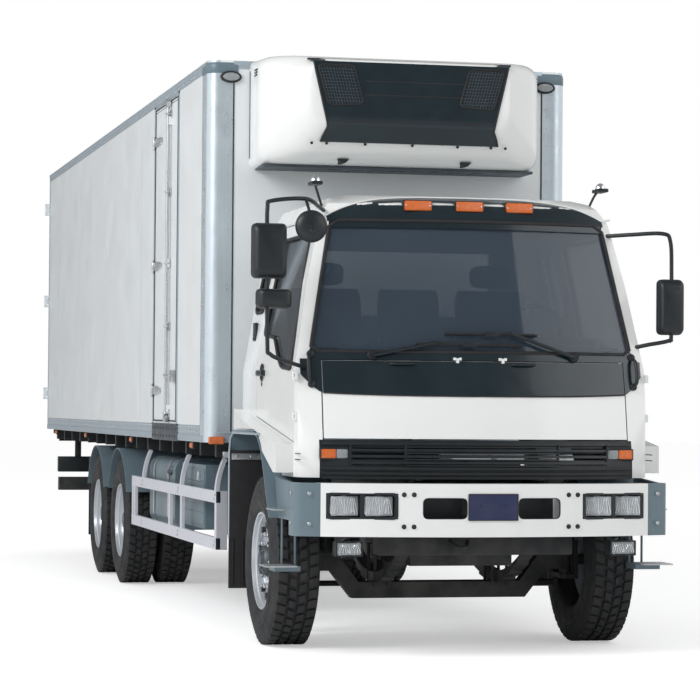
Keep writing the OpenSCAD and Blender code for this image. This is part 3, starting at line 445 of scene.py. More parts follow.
def tyre(name, body, node, x, y0, y1):
    """A tyre between two faces: bulged sidewalls with rings, and a tread of stepped lug blocks."""
    side = 1 if y1 > 0 else -1
    lo, hi = min(abs(y0), abs(y1)), max(abs(y0), abs(y1))
    mid, half = (lo + hi) / 2, (hi - lo) / 2
    rim, r = 0.296, TYRE_R - 0.0005
    out = [(rim, half - 0.045), (rim + 0.014, half - 0.022), (rim + 0.05, half - 0.008),
        (rim + 0.085, half - 0.002), (rim + 0.088, half - 0.005), (rim + 0.120, half - 0.003),
        (rim + 0.123, half - 0.007), (rim + 0.165, half - 0.014), (r - 0.028, half - 0.024),
        (r - 0.016, half - 0.034)]
    profile = out + [(a, -h) for a, h in reversed(out)]
    piece = Piece(name).lathe((x, side * mid, HUB_Z), (0, side, 0), profile, 96)
    rows = ((-1.0, 0.44), (-0.40, 0.33), (0.08, 0.33), (0.56, 0.44))
    width = (half - 0.034) * 2
    for k in range(LUGS):
        for row, (start, share) in enumerate(rows):
            a = math.tau * (k + (0.5 if row % 2 else 0)) / LUGS
            step = math.tau / LUGS * (0.40 if row in (0, 3) else 0.36)
            b0 = mid + start * width / 2
            b1 = b0 + share * width / 2
            skew = 0.10 * math.tau / LUGS * (1 if row < 2 else -1)
            verts = []
            for rad, pinch in ((r - 0.018, 1.0), (r, 0.92)):
                for b, s in ((b0, -skew), (b1, skew)):
                    for e in (-step * pinch, step * pinch):
                        t = a + e + s
                        verts.append((x + rad * math.sin(t), side * b, HUB_Z + rad * math.cos(t)))
            piece.add(verts, [(0, 1, 3, 2), (4, 6, 7, 5), (0, 4, 5, 1), (2, 3, 7, 6), (0, 2, 6, 4),
                    (1, 5, 7, 3)])
    return piece.done(body, "tyre", 50, replaces=(node,) if node else ())


def ring_of(x, y, radius, n, turn=0.0):
    """n points in a ring round a wheel's axle."""
    angles = [math.tau * (k + turn) / n for k in range(n)]
    return [Vector((x + radius * math.cos(a), y, HUB_Z + radius * math.sin(a))) for a in angles]


def disc_wheel(name, body, x, y, side, deep):
    """A steel disc wheel: a rolled rim, a dished disc whose hand-hole openings are black pucks of painted
    shade, and a ring of nuts on a flange.
    """
    rim = [(0.300, -0.02), (0.304, 0.002), (0.300, 0.008), (0.290, 0.006), (0.284, -0.014), (0.274, -0.020),
        (0.268, -0.060), (0.262, -0.070), (0.258, -0.150), (0.264, -0.150), (0.270, -0.075),
        (0.282, -0.065)]
    axle = (0, side, 0)
    steel = Piece(f"{name}_rim").lathe((x, y, HUB_Z), axle, rim, 72)
    flange = y - side * deep
    rise = 0.075 if deep < 0.1 else -0.012
    dish = [(0.262, -0.055), (0.235, -0.048 - deep * 0.3), (0.205, -deep - rise * 0.2), (0.175, -deep),
        (0.135, -deep), (0.118, -deep + 0.004), (0.118, -deep - 0.02), (0.176, -deep - 0.012),
        (0.208, -deep - 0.014), (0.240, -0.062 - deep * 0.3), (0.262, -0.070)]
    steel.lathe((x, y, HUB_Z), axle, dish, 72)
    steel.done(body, "wheel_silver", 40, "wheel_steel")
    # Black pucks at the hand-hole places, the disc left uncut: painted shade of the wheel's dark inside seen
    # through the openings.
    hole_shade = Piece(f"{name}_hand_hole_shade")
    for p in ring_of(x, y - side * (deep * 0.62 + 0.02), 0.221, 10, 0.5):
        hole_shade.lathe(p, axle, [(0, 0), (0.024, 0), (0.026, 0.004), (0.024, 0.016 + deep * 0.2),
                (0, 0.016 + deep * 0.2)], 18)
    hole_shade.done(body, "black_plastic", 40, "black_rubber")
    nuts = Piece(f"{name}_nuts")
    for p in ring_of(x, flange, 0.1675, STUDS):
        nuts.disc(p, axle, 0.0185, 0.006, 0.001, 18)
        nuts.disc(p, axle, 0.0155, 0.026, 0.003, 6)
        nuts.disc(p, axle, 0.0085, 0.040, 0.003, 10)
    nuts.done(body, "stainless", 30)
    return flange


def hub_end(name, body, x, flange, side, reach, r):
    """A hub end: a stepped cap with a bolted cover."""
    cap = Piece(f"{name}_hub").lathe((x, flange, HUB_Z), (0, side, 0),
        [(0, -0.02), (r + 0.022, -0.02), (r + 0.020, 0.006), (r + 0.004, 0.012), (r, reach * 0.55),
            (r - 0.010, reach * 0.72), (r * 0.62, reach * 0.80), (r * 0.58, reach), (0, reach)], 40)
    for p in ring_of(x, flange + side * reach * 0.62, r - 0.016, 8):
        cap.disc(p, (0, side, 0), 0.008, reach * 0.14 + 0.006, 0.002, 6)
    cap.done(body, "dark_steel", 35, "wheel_steel")


for side_name, s in SIDES:
    body = f"wheel_front_{side_name}"
    lo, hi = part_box(f"front_wheel_{side_name}")
    face = hi.y if s > 0 else lo.y
    tyre(f"tyre_front_{side_name}", body, f"front_wheel_{side_name}", X_AXLE, face - s * 0.010,
        face - s * 0.322)
    fl = disc_wheel(f"wheel_front_{side_name}", body, X_AXLE, face - s * 0.040, s, 0.045)
    hub_end(f"wheel_front_{side_name}", body, X_AXLE, fl, s, 0.062, 0.092)
    for number, label in ((1, "mid"), (2, "rear")):
        node = f"rear_wheel_{number}_{side_name}"
        body = f"wheel_{label}_{side_name}"
        lo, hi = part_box(node)
        x = (lo.x + hi.x) / 2
        face = hi.y if s > 0 else lo.y
        wide = hi.y - lo.y
        tyre(f"tyre_{label}_{side_name}_outer", body, node, x, face - s * 0.004, face - s * TWIN_TYRE_W)
        tyre(f"tyre_{label}_{side_name}_inner", body, None, x, face - s * (wide - TWIN_TYRE_W),
            face - s * wide)
        fl = disc_wheel(f"wheel_{label}_{side_name}", body, x, face - s * 0.035, s, 0.125)
        hub_end(f"wheel_{label}_{side_name}", body, x, fl, s, 0.105, 0.105)
        drum = Piece(f"drum_{label}_{side_name}").lathe((x, face - s * 0.20, HUB_Z), (0, -s, 0),
            [(0.10, 0), (0.245, 0), (0.250, 0.02), (0.250, wide - 0.26), (0.240, wide - 0.24),
                (0.10, wide - 0.24)], 40)
        drum.done(body, "frame_paint", 40)
# Cab ----------------------------------------------------------------------------------------------

# Radius of the bow of the cab front and the bumper, and tables of the cab's front and side outlines
BOW_R = 3.5
OUTLINE = ((1.06, 0.0), (1.12, 0.0), (1.29, -0.035), (1.56, -0.075), (1.79, -0.130),
    (CAB_TOP - 0.185, -0.325), (CAB_TOP - 0.080, -0.400), (CAB_TOP - 0.020, -0.560), (CAB_TOP, -0.800))
CORNER = ((0.55, 10.0), (0.66, -0.06), (0.98, -0.145), (1.045, -0.185), (1.08, -0.235), (1.09, -0.300),
    (1.2, -0.6))
SIDE = ((1.0, 1.09), (1.70, 1.09), (2.22, 1.0), (CAB_TOP - 0.165, 0.905), (CAB_TOP - 0.045, 0.83),
    (CAB_TOP, 0.64))


def along(table, t):
    """Straight interpolation in a table of pairs."""
    for (a, u), (b, v) in zip(table, table[1:]):
        if t <= b:
            return u + (v - u) * (max(t, a) - a) / (b - a)
    return table[-1][1]


def skin_x(z, y):
    """The cab's front surface at a height and a distance from the middle."""
    reach = BOW_R + along(OUTLINE, z)
    bowed = X_FRONT - BOW_R + math.sqrt(reach * reach - y * y)
    return min(bowed, X_FRONT + along(CORNER, abs(y))) if abs(y) > 0.66 else bowed


def skin_y(z):
    """The cab's half width at a height."""
    return along(SIDE, z)


def front_sheet(piece, ys, low, high, rows=6, lift=0.004, thick=0.012):
    """A panel laid on the cab's front, between the curves low(y) and high(y)."""
    n = rows + 1
    verts, faces = [], []
    for y in ys:
        for j in range(n):
            z = low(y) + (high(y) - low(y)) * j / rows
            x = skin_x(z, y)
            verts += [(x + lift, y, z), (x + lift - thick, y, z)]
    m = len(ys)

    def at(i, j, k):
        return (i * n + j) * 2 + k

    for i in range(m - 1):
        for j in range(rows):
            faces.append((at(i, j, 0), at(i + 1, j, 0), at(i + 1, j + 1, 0), at(i, j + 1, 0)))
            faces.append((at(i, j, 1), at(i, j + 1, 1), at(i + 1, j + 1, 1), at(i + 1, j, 1)))
        faces.append((at(i, 0, 0), at(i, 0, 1), at(i + 1, 0, 1), at(i + 1, 0, 0)))
        faces.append((at(i, rows, 0), at(i + 1, rows, 0), at(i + 1, rows, 1), at(i, rows, 1)))
    for j in range(rows):
        faces.append((at(0, j, 0), at(0, j + 1, 0), at(0, j + 1, 1), at(0, j, 1)))
        faces.append((at(m - 1, j, 0), at(m - 1, j, 1), at(m - 1, j + 1, 1), at(m - 1, j + 1, 0)))
    piece.add(verts, faces)
    return piece


def spread(a, b, n):
    return [a + (b - a) * k / n for k in range(n + 1)]


def flat(value):
    return lambda y: value


BELT_LOW, LID_TOP, SCREEN_LOW, SCREEN_TOP = 1.545, 1.752, 1.806, CAB_TOP - 0.186
belt = Piece("belt_lid")
front_sheet(belt, spread(-0.935, 0.935, 40), lambda y: BELT_LOW + 0.020 * abs(y) ** 3,
    flat(LID_TOP - 0.001), 8)
belt.done("lid", "belt_black", 50)
edge = Piece("belt_lid_edge")
edge.tube([(skin_x(BELT_LOW, y) + 0.003, y, BELT_LOW + 0.020 * abs(y) ** 3)
        for y in spread(-0.935, 0.935, 40)], 0.0045, 8)
edge.done("lid", "rubber", 60)

upper = Piece("belt_cab")
front_sheet(upper, spread(-1.002, 1.002, 44), flat(LID_TOP + 0.005), flat(SCREEN_LOW + 0.012), 4)
for _, s in SIDES:
    front_sheet(upper, [s * y for y in (0.940, 0.955, 0.975, 1.0, 1.02, 1.038, 1.05, 1.06)],
        lambda y: 1.562 + 1.9 * max(0.0, abs(y) - 0.94) ** 1.35, flat(LID_TOP + 0.010), 6)
upper.done("cab", "belt_black", 50)

header = Piece("header")
front_sheet(header, spread(-0.868, 0.868, 40), flat(SCREEN_TOP - 0.006),
    lambda y: CAB_TOP - 0.034 - 0.125 * (abs(y) / 0.868) ** 4, 6)
header.done("cab", "belt_black", 50)
gutter = Piece("roof_gutter")
gutter.tube([(skin_x(CAB_TOP - 0.032 - 0.125 * (abs(y) / 0.868) ** 4, y) + 0.002, y,
        CAB_TOP - 0.030 - 0.125 * (abs(y) / 0.868) ** 4) for y in spread(-0.868, 0.868, 40)], 0.006, 8)
for _, s in SIDES:
    gutter.tube([(x, s * (skin_y(CAB_TOP - 0.150) + 0.004), CAB_TOP - 0.150)
            for x in spread(X_CAB + 0.06, X_FRONT - 0.40, 6)], 0.007, 8)
gutter.done("cab", "cab_paint", 60)


def roof_ribs():
    """Shallow swages pressed into the roof, running fore and aft."""
    ribs = Piece("roof_swages")
    for k in range(9):
        y = -0.56 + 0.14 * k
        ribs.block((X_CAB + 0.15, y - 0.028, CAB_TOP - 0.004), (X_FRONT - 0.86, y + 0.028,
                CAB_TOP - 0.0006), 0.003)
        ribs.tube([(x, y, CAB_TOP - 0.006 - 0.020 * max(0.0, (x - X_FRONT + 0.80) / 0.24))
                for x in spread(X_FRONT - 0.86, X_FRONT - 0.60, 5)], 0.006, 8, 0.020)
    return ribs.done("cab", "cab_paint", 50)


roof_ribs()


def marker(name, y, z):
    """An amber roof lamp: a black base, a bevelled lens and its two screws."""
    x = skin_x(z, y)
    Piece(f"{name}_base").block((x - 0.06, y - 0.092, z - 0.036), (x + 0.016, y + 0.092, z + 0.036),
        0.008).done("cab", "black_plastic")
    Piece(f"{name}_lens").block((x - 0.02, y - 0.084, z - 0.030), (x + 0.034, y + 0.084, z + 0.030), 0.010,
        3).done("cab", "amber")
    glow = Piece(f"{name}_screws")
    for k in (-0.074, 0.074):
        glow.disc((x + 0.030, y + k, z), (1, 0, 0), 0.0045, 0.005, 0.001, 12)
    glow.done("cab", "chrome")


for k, y in enumerate((-0.318, 0.0, 0.318)):
    marker(f"roof_lamp_{k + 1}", y, CAB_TOP - 0.092)

# Windscreen seal, in a loop round the glass
loop = []
half_low, half_high = 0.999, 0.852
for y in spread(-half_low + 0.05, half_low - 0.05, 30):
    loop.append((y, SCREEN_LOW))
for z in spread(SCREEN_LOW + 0.03, SCREEN_TOP - 0.04, 10):
    t = (z - SCREEN_LOW) / (SCREEN_TOP - SCREEN_LOW)
    loop.append((half_low + (half_high - half_low) * t, z))
for y in spread(half_high - 0.05, -half_high + 0.05, 26):
    loop.append((y, SCREEN_TOP))
for z in spread(SCREEN_TOP - 0.04, SCREEN_LOW + 0.03, 10):
    t = (z - SCREEN_LOW) / (SCREEN_TOP - SCREEN_LOW)
    loop.append((-half_low - (half_high - half_low) * t, z))
loop.append(loop[0])
seal = Piece("windscreen_seal")
seal.tube([(skin_x(z, y) + 0.002, y, z) for y, z in loop], 0.011, 8, 0.009)
seal.done("cab", "rubber", 70)
frit = Piece("windscreen_band")
front_sheet(frit, spread(-0.85, 0.85, 36), flat(SCREEN_TOP - 0.045), flat(SCREEN_TOP), 2, 0.002, 0.006)
for _, s in SIDES:
    front_sheet(frit, [s * y for y in spread(0.84, 0.985, 6)], flat(SCREEN_LOW), flat(SCREEN_LOW + 0.020),
        1, 0.002, 0.006)
frit.done("cab", "belt_black", 60)


def wiper(name, pivot, elbow, blade):
    """A wiper: spindle cap, sprung arm and a blade with its bridge, standing just off the glass."""
    def on(p, off):
        return Vector((skin_x(p[1], p[0]) + off, p[0], p[1]))
    arm = Piece(f"{name}_arm")
    arm.disc(on(pivot, 0.0), (1, 0, 0.15), 0.030, 0.030, 0.006, 20)
    arm.tube(smooth_path([on(pivot, 0.030), on(pivot, 0.036) * 0.6 + on(elbow, 0.034) * 0.4,
            on(elbow, 0.026)], 5), 0.011, 8)
    mid = ((blade[0][0] + blade[1][0]) / 2, (blade[0][1] + blade[1][1]) / 2)
    arm.tube([on(elbow, 0.026), on(mid, 0.030)], 0.006, 8)
    arm.block(on(mid, 0.016) - Vector((0, 0.045, 0.012)), on(mid, 0.034) + Vector((0, 0.045, 0.012)), 0.005)
    arm.done("cab", "black_plastic", 45)
    blade_rubber = Piece(f"{name}_blade")
    pts = [(blade[0][0] + (blade[1][0] - blade[0][0]) * k / 10,
            blade[0][1] + (blade[1][1] - blade[0][1]) * k / 10) for k in range(11)]
    blade_rubber.tube([on(p, 0.015) for p in pts], 0.007, 8)
    blade_rubber.tube([on((p[0], p[1] - 0.006), 0.006) for p in pts], 0.005, 6)
    for a, b in ((1, 4), (6, 9)):
        blade_rubber.tube([on(pts[a], 0.016), on(pts[(a + b) // 2], 0.028), on(pts[b], 0.016)], 0.004, 6)
    blade_rubber.done("cab", "rubber", 60)


wiper("wiper_right", (-0.648, 1.782), (-0.257, 1.866), ((-0.387, 1.855), (0.265, 1.850)))
wiper("wiper_left", (0.600, 1.782), (0.200, 1.922), ((-0.206, 1.918), (0.367, 1.914)))

knobs = Piece("belt_grips")
for y in (-0.47, 0.27):
    knobs.tube(smooth_path([(skin_x(1.735, y + k) + off, y + k, 1.735) for k,
            off in ((-0.075, 0.004), (-0.055, 0.022), (0.0, 0.026), (0.055, 0.022), (0.075, 0.004))]),
        0.007, 8)
knobs.done("lid", "black_plastic", 60)
for name, s in SIDES:
    grip = Piece(f"corner_grip_{name}")
    grip.tube(smooth_path([(skin_x(z, s * 1.01) + off, s * y, z) for z, off,
            y in ((1.780, 0.0, 1.0), (1.765, 0.035, 1.015), (1.70, 0.045, 1.02), (1.635, 0.035, 1.015),
            (1.62, 0.0, 1.0))]), 0.011, 10)
    grip.disc((skin_x(1.79, s * 1.0), s * 1.0, 1.79), (1, 0, 0), 0.022, 0.02, 0.004, 16)
    grip.disc((skin_x(1.61, s * 1.0), s * 1.0, 1.61), (1, 0, 0), 0.022, 0.02, 0.004, 16)
    grip.done("cab", "black_plastic", 55)
    stalk = Piece(f"stalk_lamp_{name}")
    y = s * (0.92 if s < 0 else 0.885)
    stalk.tube(smooth_path([(X_BOX + 1.80, y - s * 0.06, CAB_TOP - 0.09),
            (X_BOX + 1.83, y - s * 0.02, CAB_TOP + 0.01), (X_BOX + 1.87, y, CAB_TOP + 0.045)]), 0.008, 8)
    stalk.block((X_BOX + 1.82, y - 0.035, CAB_TOP + 0.028), (X_BOX + 1.955, y + 0.035, CAB_TOP + 0.052),
        0.010)
    stalk.done("cab", "black_plastic", 50)
    cover = Piece(f"stalk_lens_{name}")
    cover.lathe((X_BOX + 1.89, y, CAB_TOP + 0.052), (0, 0, 1),
        [(0, 0), (0.030, 0), (0.030, 0.010), (0.022, 0.026), (0.010, 0.034), (0, 0.036)], 20)
    cover.done("cab", "chrome", 60)


# Grille indicators and slats
for name, s in SIDES:
    y0, y1, ym = s * 0.968, s * 0.802, s * 0.872
    x = skin_x(1.20, s * 0.88)
    Piece(f"indicator_frame_{name}").block((x - 0.06, y0, 1.166), (x + 0.004, y1 - s * 0.006, 1.236),
        0.006).done("cab", "black_plastic")
    Piece(f"indicator_amber_{name}").block((x - 0.04, y0 - s * 0.008, 1.174), (x + 0.012, ym, 1.228),
        0.007).done("cab", "amber")
    Piece(f"indicator_clear_{name}").block((x - 0.03, ym - s * 0.003, 1.174), (x + 0.016, y1, 1.228),
        0.007).done("cab", "clear_lens")
    Piece(f"indicator_back_{name}").block((x - 0.045, ym - s * 0.003, 1.178),
        (x - 0.006, y1 + s * 0.004, 1.224), 0.004).done("cab", "chrome")
slats = Piece("grille_slats")
for z, depth in ((1.262, 0.012), (1.225, 0.008), (1.188, 0.008), (1.151, 0.008), (1.118, 0.016),
        (1.088, 0.008), (1.062, 0.012)):
    span = 0.955 if depth > 0.009 or z < 1.1 else 0.79
    front_sheet(slats, spread(-span, span, 30), flat(z - 0.008), flat(z + 0.006), 1, depth, 0.03)
for z in (1.244, 1.207, 1.170, 1.134):
    front_sheet(slats, spread(-0.47, 0.47, 16), flat(z - 0.004), flat(z + 0.004), 1, 0.006, 0.03)
for y in (-0.79, -0.47, 0.47, 0.79):
    slats.block((skin_x(1.2, y) - 0.03, y - 0.005, 1.118), (skin_x(1.2, y) + 0.006, y + 0.005, 1.262),
        0.002)
slats.done("cab", "black_plastic", 50)


def side_pane(name, body, s, points):
    """A pane following the cab's leaning side, with its rubber seal."""
    outline = rounded(points, 0.05, 5)
    pane = Piece(f"{name}_glass")
    slab(pane, [(x, s * (skin_y(z) - 0.010), z) for x, z in outline],
        [(x, s * (skin_y(z) - 0.016), z) for x, z in outline])
    pane.done(body, "side_glass", 50)
    path = [(x, s * (skin_y(z) + 0.002), z) for x, z in outline]
    Piece(f"{name}_seal").tube(path + path[:1], 0.012, 8).done(body, "rubber", 70)


# Doors: glass, seals, handles. XQ and XH are the door's rear and front edges
XQ, XH = X_BOX + 0.94, X_BOX + 2.16
TOP = CAB_TOP - 0.260
for name, s in SIDES:
    side_pane(f"door_window_{name}", f"door_{name}", s, [(XQ + 0.09, 1.925), (XQ + 0.43, 1.905),
            (XQ + 0.64, 1.780), (XQ + 0.80, 1.715), (XH - 0.115, 1.70), (XQ + 0.895, TOP),
            (XQ + 0.09, TOP)])
    side_pane(f"quarter_window_{name}", "cab", s, [(X_CAB + 0.10, 2.08), (XQ - 0.09, 2.08),
            (XQ - 0.09, 2.48), (X_CAB + 0.10, 2.48)])
    handle = Piece(f"door_handle_{name}")
    handle.lathe((XQ + 0.19, s * 1.088, 1.687), (0, s, 0), [(0, 0), (0.058, 0), (0.056, 0.006),
            (0.046, 0.008), (0.042, 0.003), (0, 0.003)], 28)
    handle.tube(smooth_path([(XQ + 0.135, s * 1.092, 1.687), (XQ + 0.15, s * 1.112, 1.689),
            (XQ + 0.23, s * 1.112, 1.689), (XQ + 0.25, s * 1.092, 1.687)]), 0.011, 8)
    handle.block((XQ + 0.126, s * 1.085, 1.666), (XQ + 0.294, s * 1.1215, 1.704), 0.010)
    handle.disc((XQ + 0.19, s * 1.088, 1.615), (0, s, 0), 0.013, 0.006, 0.001, 16)
    handle.done(f"door_{name}", "black_plastic", 45)
    vent = Piece(f"pillar_vent_{name}")
    vent.block((XQ - 0.29, s * (skin_y(1.90) - 0.01), 1.895), (XQ - 0.20, s * (skin_y(1.90) + 0.004),
            2.015), 0.006)
    for k in range(6):
        z = 1.908 + 0.019 * k
        vent.block((XQ - 0.282, s * skin_y(z), z), (XQ - 0.208, s * (skin_y(z) + 0.011), z + 0.008), 0.003)
    vent.done("cab", "black_plastic", 40)
    # The two corner slits are not cut: dark slate lines laid on the skin stand in as painted shade of the
    # openings.
    slot_shade = Piece(f"corner_slot_shade_{name}")
    for z in (1.20, 1.165):
        slot_shade.tube([(XH + 0.02 + k, s * (1.0905 - max(0, k - 0.09) * 0.15), z) for k in (0.0, 0.06, 0.12)],
            0.0035, 6)
    slot_shade.done("cab", "slate_plastic", 60)


# Cooling unit -------------------------------------------------------------------------------------


def loft(piece, rings):
    """Skins a run of closed rings, with a cap on each end."""
    n = len(rings[0])
    verts = [v for ring in rings for v in ring]
    faces = ends(n, len(verts))
    for i in range(len(rings) - 1):
        faces += band(n, i * n, i * n + n)
    piece.add(verts, faces)
    return piece


def round_rect(y, z0, z1, r, n=7):
    """A rounded rectangle between -y and y."""
    return rounded([(-y, z0), (y, z0), (y, z1), (-y, z1)], r, n)


C_LOW = cooler_lo.z
C_TOP = cooler_hi.z
shell = ((0.0, 0.968, 0.000, 0.0, 0.05), (0.06, 0.970, 0.000, 0.0, 0.07), (0.26, 0.966, 0.010, 0.0, 0.11),
    (0.34, 0.945, 0.020, 0.002, 0.14), (0.40, 0.905, 0.034, 0.006, 0.16), (0.45, 0.862, 0.056, 0.012, 0.17),
    (0.49, 0.820, 0.084, 0.020, 0.18), (0.525, 0.780, 0.118, 0.028, 0.18),
    (0.556, 0.743, 0.158, 0.036, 0.17), (0.580, 0.715, 0.195, 0.042, 0.15),
    (0.598, 0.692, 0.226, 0.048, 0.13), (0.609, 0.672, 0.250, 0.054, 0.12),
    (0.615, 0.650, 0.268, 0.062, 0.11))
unit = Piece("cooler_shell")
loft(unit, [[(X_BOX + x, p, q) for p, q in round_rect(w, C_LOW + a, C_TOP - b, r)] for x, w, a, b,
        r in shell])
unit.done("chassis", "cab_paint", 40, replaces=("cooling_unit",))
under = Piece("cooler_under_tray")
under.block((X_BOX + 0.004, -0.93, C_LOW - 0.006), (X_BOX + 0.30, 0.93, C_LOW + 0.012), 0.004)
for k in range(9):
    under.block((X_BOX + 0.10, -0.56 + 0.14 * k - 0.045, C_LOW - 0.010),
        (X_BOX + 0.24, -0.56 + 0.14 * k + 0.045, C_LOW), 0.003)
under.done("chassis", "slate_plastic", 40)

# The dark front panel: columns across, rows down the face and under its lip
rows = ((0.560, C_TOP - 0.042, 0.690), (0.596, C_TOP - 0.048, 0.676), (0.6165, C_TOP - 0.062, 0.662),
    (0.6180, C_TOP - 0.12, 0.650), (0.6180, C_TOP - 0.40, 0.584), (0.6175, C_TOP - 0.462, 0.570),
    (0.608, C_TOP - 0.492, 0.566), (0.586, C_TOP - 0.545, 0.590), (0.566, C_TOP - 0.586, 0.604))
panel = Piece("cooler_panel")
m = 12
verts = [(X_BOX + x - back, -w + 2 * w * k / m, z) for back in (0.0, 0.05) for x, z,
    w in rows for k in range(m + 1)]
faces = []
half = len(rows) * (m + 1)
for i in range(len(rows) - 1):
    for k in range(m):
        a = i * (m + 1) + k
        faces.append((a, a + m + 1, a + m + 2, a + 1))
        faces.append((half + a, half + a + 1, half + a + m + 2, half + a + m + 1))
    for a in (i * (m + 1), i * (m + 1) + m):
        faces.append((a, half + a, half + a + m + 1, a + m + 1))
for k in range(m):
    faces.append((k, k + 1, half + k + 1, half + k))
    a = (len(rows) - 1) * (m + 1) + k
    faces.append((a, half + a, half + a + 1, a + 1))
panel.add(verts, faces)
panel.done("chassis", "belt_black", 28)
X_FACE = X_BOX + 0.618
trim = Piece("cooler_panel_rim")
edge_path = [(X_BOX + x + 0.001, w, z) for x, z, w in rows]
trim.tube(edge_path, 0.006, 8)
trim.tube([(x, -y, z) for x, y, z in edge_path], 0.006, 8)
trim.tube([(edge_path[0][0], y, edge_path[0][2]) for y in spread(-0.69, 0.69, 8)], 0.006, 8)
for z in (C_TOP - 0.185, C_TOP - 0.275):
    trim.block((X_FACE - 0.004, -0.315, z - 0.004), (X_FACE + 0.001, 0.405, z + 0.004), 0.002)
for y0, y1 in ((-0.455, -0.345), (0.345, 0.455)):
    trim.block((X_FACE - 0.01, y0, C_TOP - 0.455), (X_FACE + 0.001, y1, C_TOP - 0.441), 0.003)
trim.done("chassis", "rubber", 60)


for name, s in SIDES:
    # An inlet: a raised slanting frame round a dark mesh with wires
    ring = rounded([(s * 0.635, C_TOP - 0.085), (s * 0.395, C_TOP - 0.082), (s * 0.325, C_TOP - 0.335),
            (s * 0.560, C_TOP - 0.352)], 0.035, 5)
    Piece(f"cooler_inlet_{name}_rim").tube([(X_FACE + 0.001, y, z) for y, z in ring + ring[:1]], 0.0065,
        8).done("chassis", "rubber", 70)
    Piece(f"cooler_inlet_{name}_mesh").prism(ring, "x", X_FACE - 0.03, X_FACE - 0.0006).done("chassis",
        "black_plastic", 30)
    wires = Piece(f"cooler_inlet_{name}_wires")
    for t in [k / 12 for k in range(1, 12)]:
        wires.tube([(X_FACE + 0.0005, s * (0.635 - 0.24 * t), C_TOP - 0.09),
                (X_FACE + 0.0005, s * (0.565 - 0.235 * t), C_TOP - 0.342)], 0.0016, 6)
        z = C_TOP - 0.09 - 0.25 * t
        wires.tube([(X_FACE + 0.0005, s * (0.628 - 0.07 * t), z),
                (X_FACE + 0.0005, s * (0.402 - 0.07 * t), z)], 0.0016, 6)
    wires.done("chassis", "slate_plastic", 60)

fast = Piece("cooler_fasteners")
for y in (-0.66, -0.56, -0.30, 0.02, 0.33, 0.56, 0.66):
    fast.disc((X_BOX + 0.556, y, C_LOW + 0.137), (0.7, 0, -0.7), 0.010, 0.008, 0.002, 14)
for y in (-0.42, 0.42):
    fast.prism([(y - 0.04, C_LOW + 0.045), (y + 0.04, C_LOW + 0.045), (y + 0.012, C_LOW + 0.018),
            (y - 0.012, C_LOW + 0.018)], "x", X_BOX + 0.30, X_BOX + 0.452, 0.004)
for s in (-1, 1):
    for k in range(3):
        fast.block((X_BOX + 0.16, s * 0.962, C_TOP - 0.125 + 0.018 * k),
            (X_BOX + 0.25, s * 0.9715, C_TOP - 0.115 + 0.018 * k), 0.002)
fast.done("chassis", "black_plastic", 40)
seams = Piece("cooler_seams")
for s in (-1, 1):
    seams.tube([(X_BOX + 0.012, s * 0.9695, z) for z in (C_LOW + 0.07, C_TOP - 0.07)], 0.004, 6)
seams.tube([(X_BOX + 0.012, -0.88, C_LOW - 0.001), (X_BOX + 0.012, 0.88, C_LOW - 0.001)], 0.004, 6)
seams.done("chassis", "slate_plastic", 60)


# Bumper, lamps and plate --------------------------------------------------------------------------

B_LOW, B_TOP = bumper_lo.z, bumper_hi.z
LAMP_Z = B_LOW + 0.178
cap_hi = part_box("bumper_caps")[1]


def bump_x(y):
    """The bumper's bowed face at a distance from the middle."""
    return X_BUMPER - (BOW_R - math.sqrt(BOW_R * BOW_R - y * y))


def bowed_prism(piece, outline, out, back):
    """A slab with a rounded outline in y and z that follows the bumper's bow."""
    slab(piece, [(bump_x(y) + out, y, z) for y, z in outline],
        [(bump_x(y) - back, y, z) for y, z in outline])


def rim(piece, outer, inner, out, back):
    """A ring between two outlines with the same number of points, following the bow."""
    m = len(outer)
    verts = []
    for line, off in ((outer, out), (inner, out), (inner, -back), (outer, -back)):
        verts += [(bump_x(y) + off, y, z) for y, z in line]
    faces = []
    for a, b in ((0, 1), (1, 2), (2, 3), (3, 0)):
        faces += band(m, a * m, b * m)
    piece.add(verts, faces)
    return piece


def box_outline(y0, y1, z0, z1, r):
    return rounded([(y0, z0), (y1, z0), (y1, z1), (y0, z1)], r, 5)


def head_lamp(name, y0, y1, z0, z1, face):
    """One rectangular lamp: a bowl reflector with a bulb shield, a ribbed lens and a clear cover."""
    ym, zm = (y0 + y1) / 2, (z0 + z1) / 2
    bowl = Piece(f"{name}_bowl")
    bowl.block((face - 0.075, y0 + 0.006, z0 + 0.006), (face - 0.060, y1 - 0.006, z1 - 0.006), 0.005)
    bowl.lathe((face - 0.062, ym, zm), (1, 0, 0), [(0.010, 0.0), (0.030, 0.006), (0.048, 0.020),
            (0.056, 0.038), (0.060, 0.040), (0.060, -0.004), (0.010, -0.004)], 32)
    for s in (-1, 1):
        bowl.block((face - 0.062, ym + s * 0.052, z0 + 0.01), (face - 0.022, ym + s * 0.064, z1 - 0.01),
            0.004)
    bowl.disc((face - 0.062, ym, zm), (1, 0, 0), 0.013, 0.030, 0.006, 16)
    for k in (-1, 1):
        bowl.disc((face - 0.012, ym + k * 0.055, zm + k * 0.035), (1, 0, 0), 0.006, 0.008, 0.002, 12)
    bowl.done("chassis", "chrome", 45)
    glass = Piece(f"{name}_lens")
    glass.block((face - 0.012, y0, z0), (face, y1, z1), 0.008, 3)
    glass.done("chassis", "clear_lens", 40)
    ribs = Piece(f"{name}_flutes")
    for k in range(1, 12):
        y = y0 + (y1 - y0) * k / 12
        lean = 0.010 * math.sin(k)
        ribs.tube([(face + 0.0005, y - lean, z0 + 0.012), (face + 0.0015, y, zm),
                (face + 0.0005, y + lean, z1 - 0.012)], 0.0018, 6)
    ribs.done("chassis", "chrome", 60, "lamp_glass")


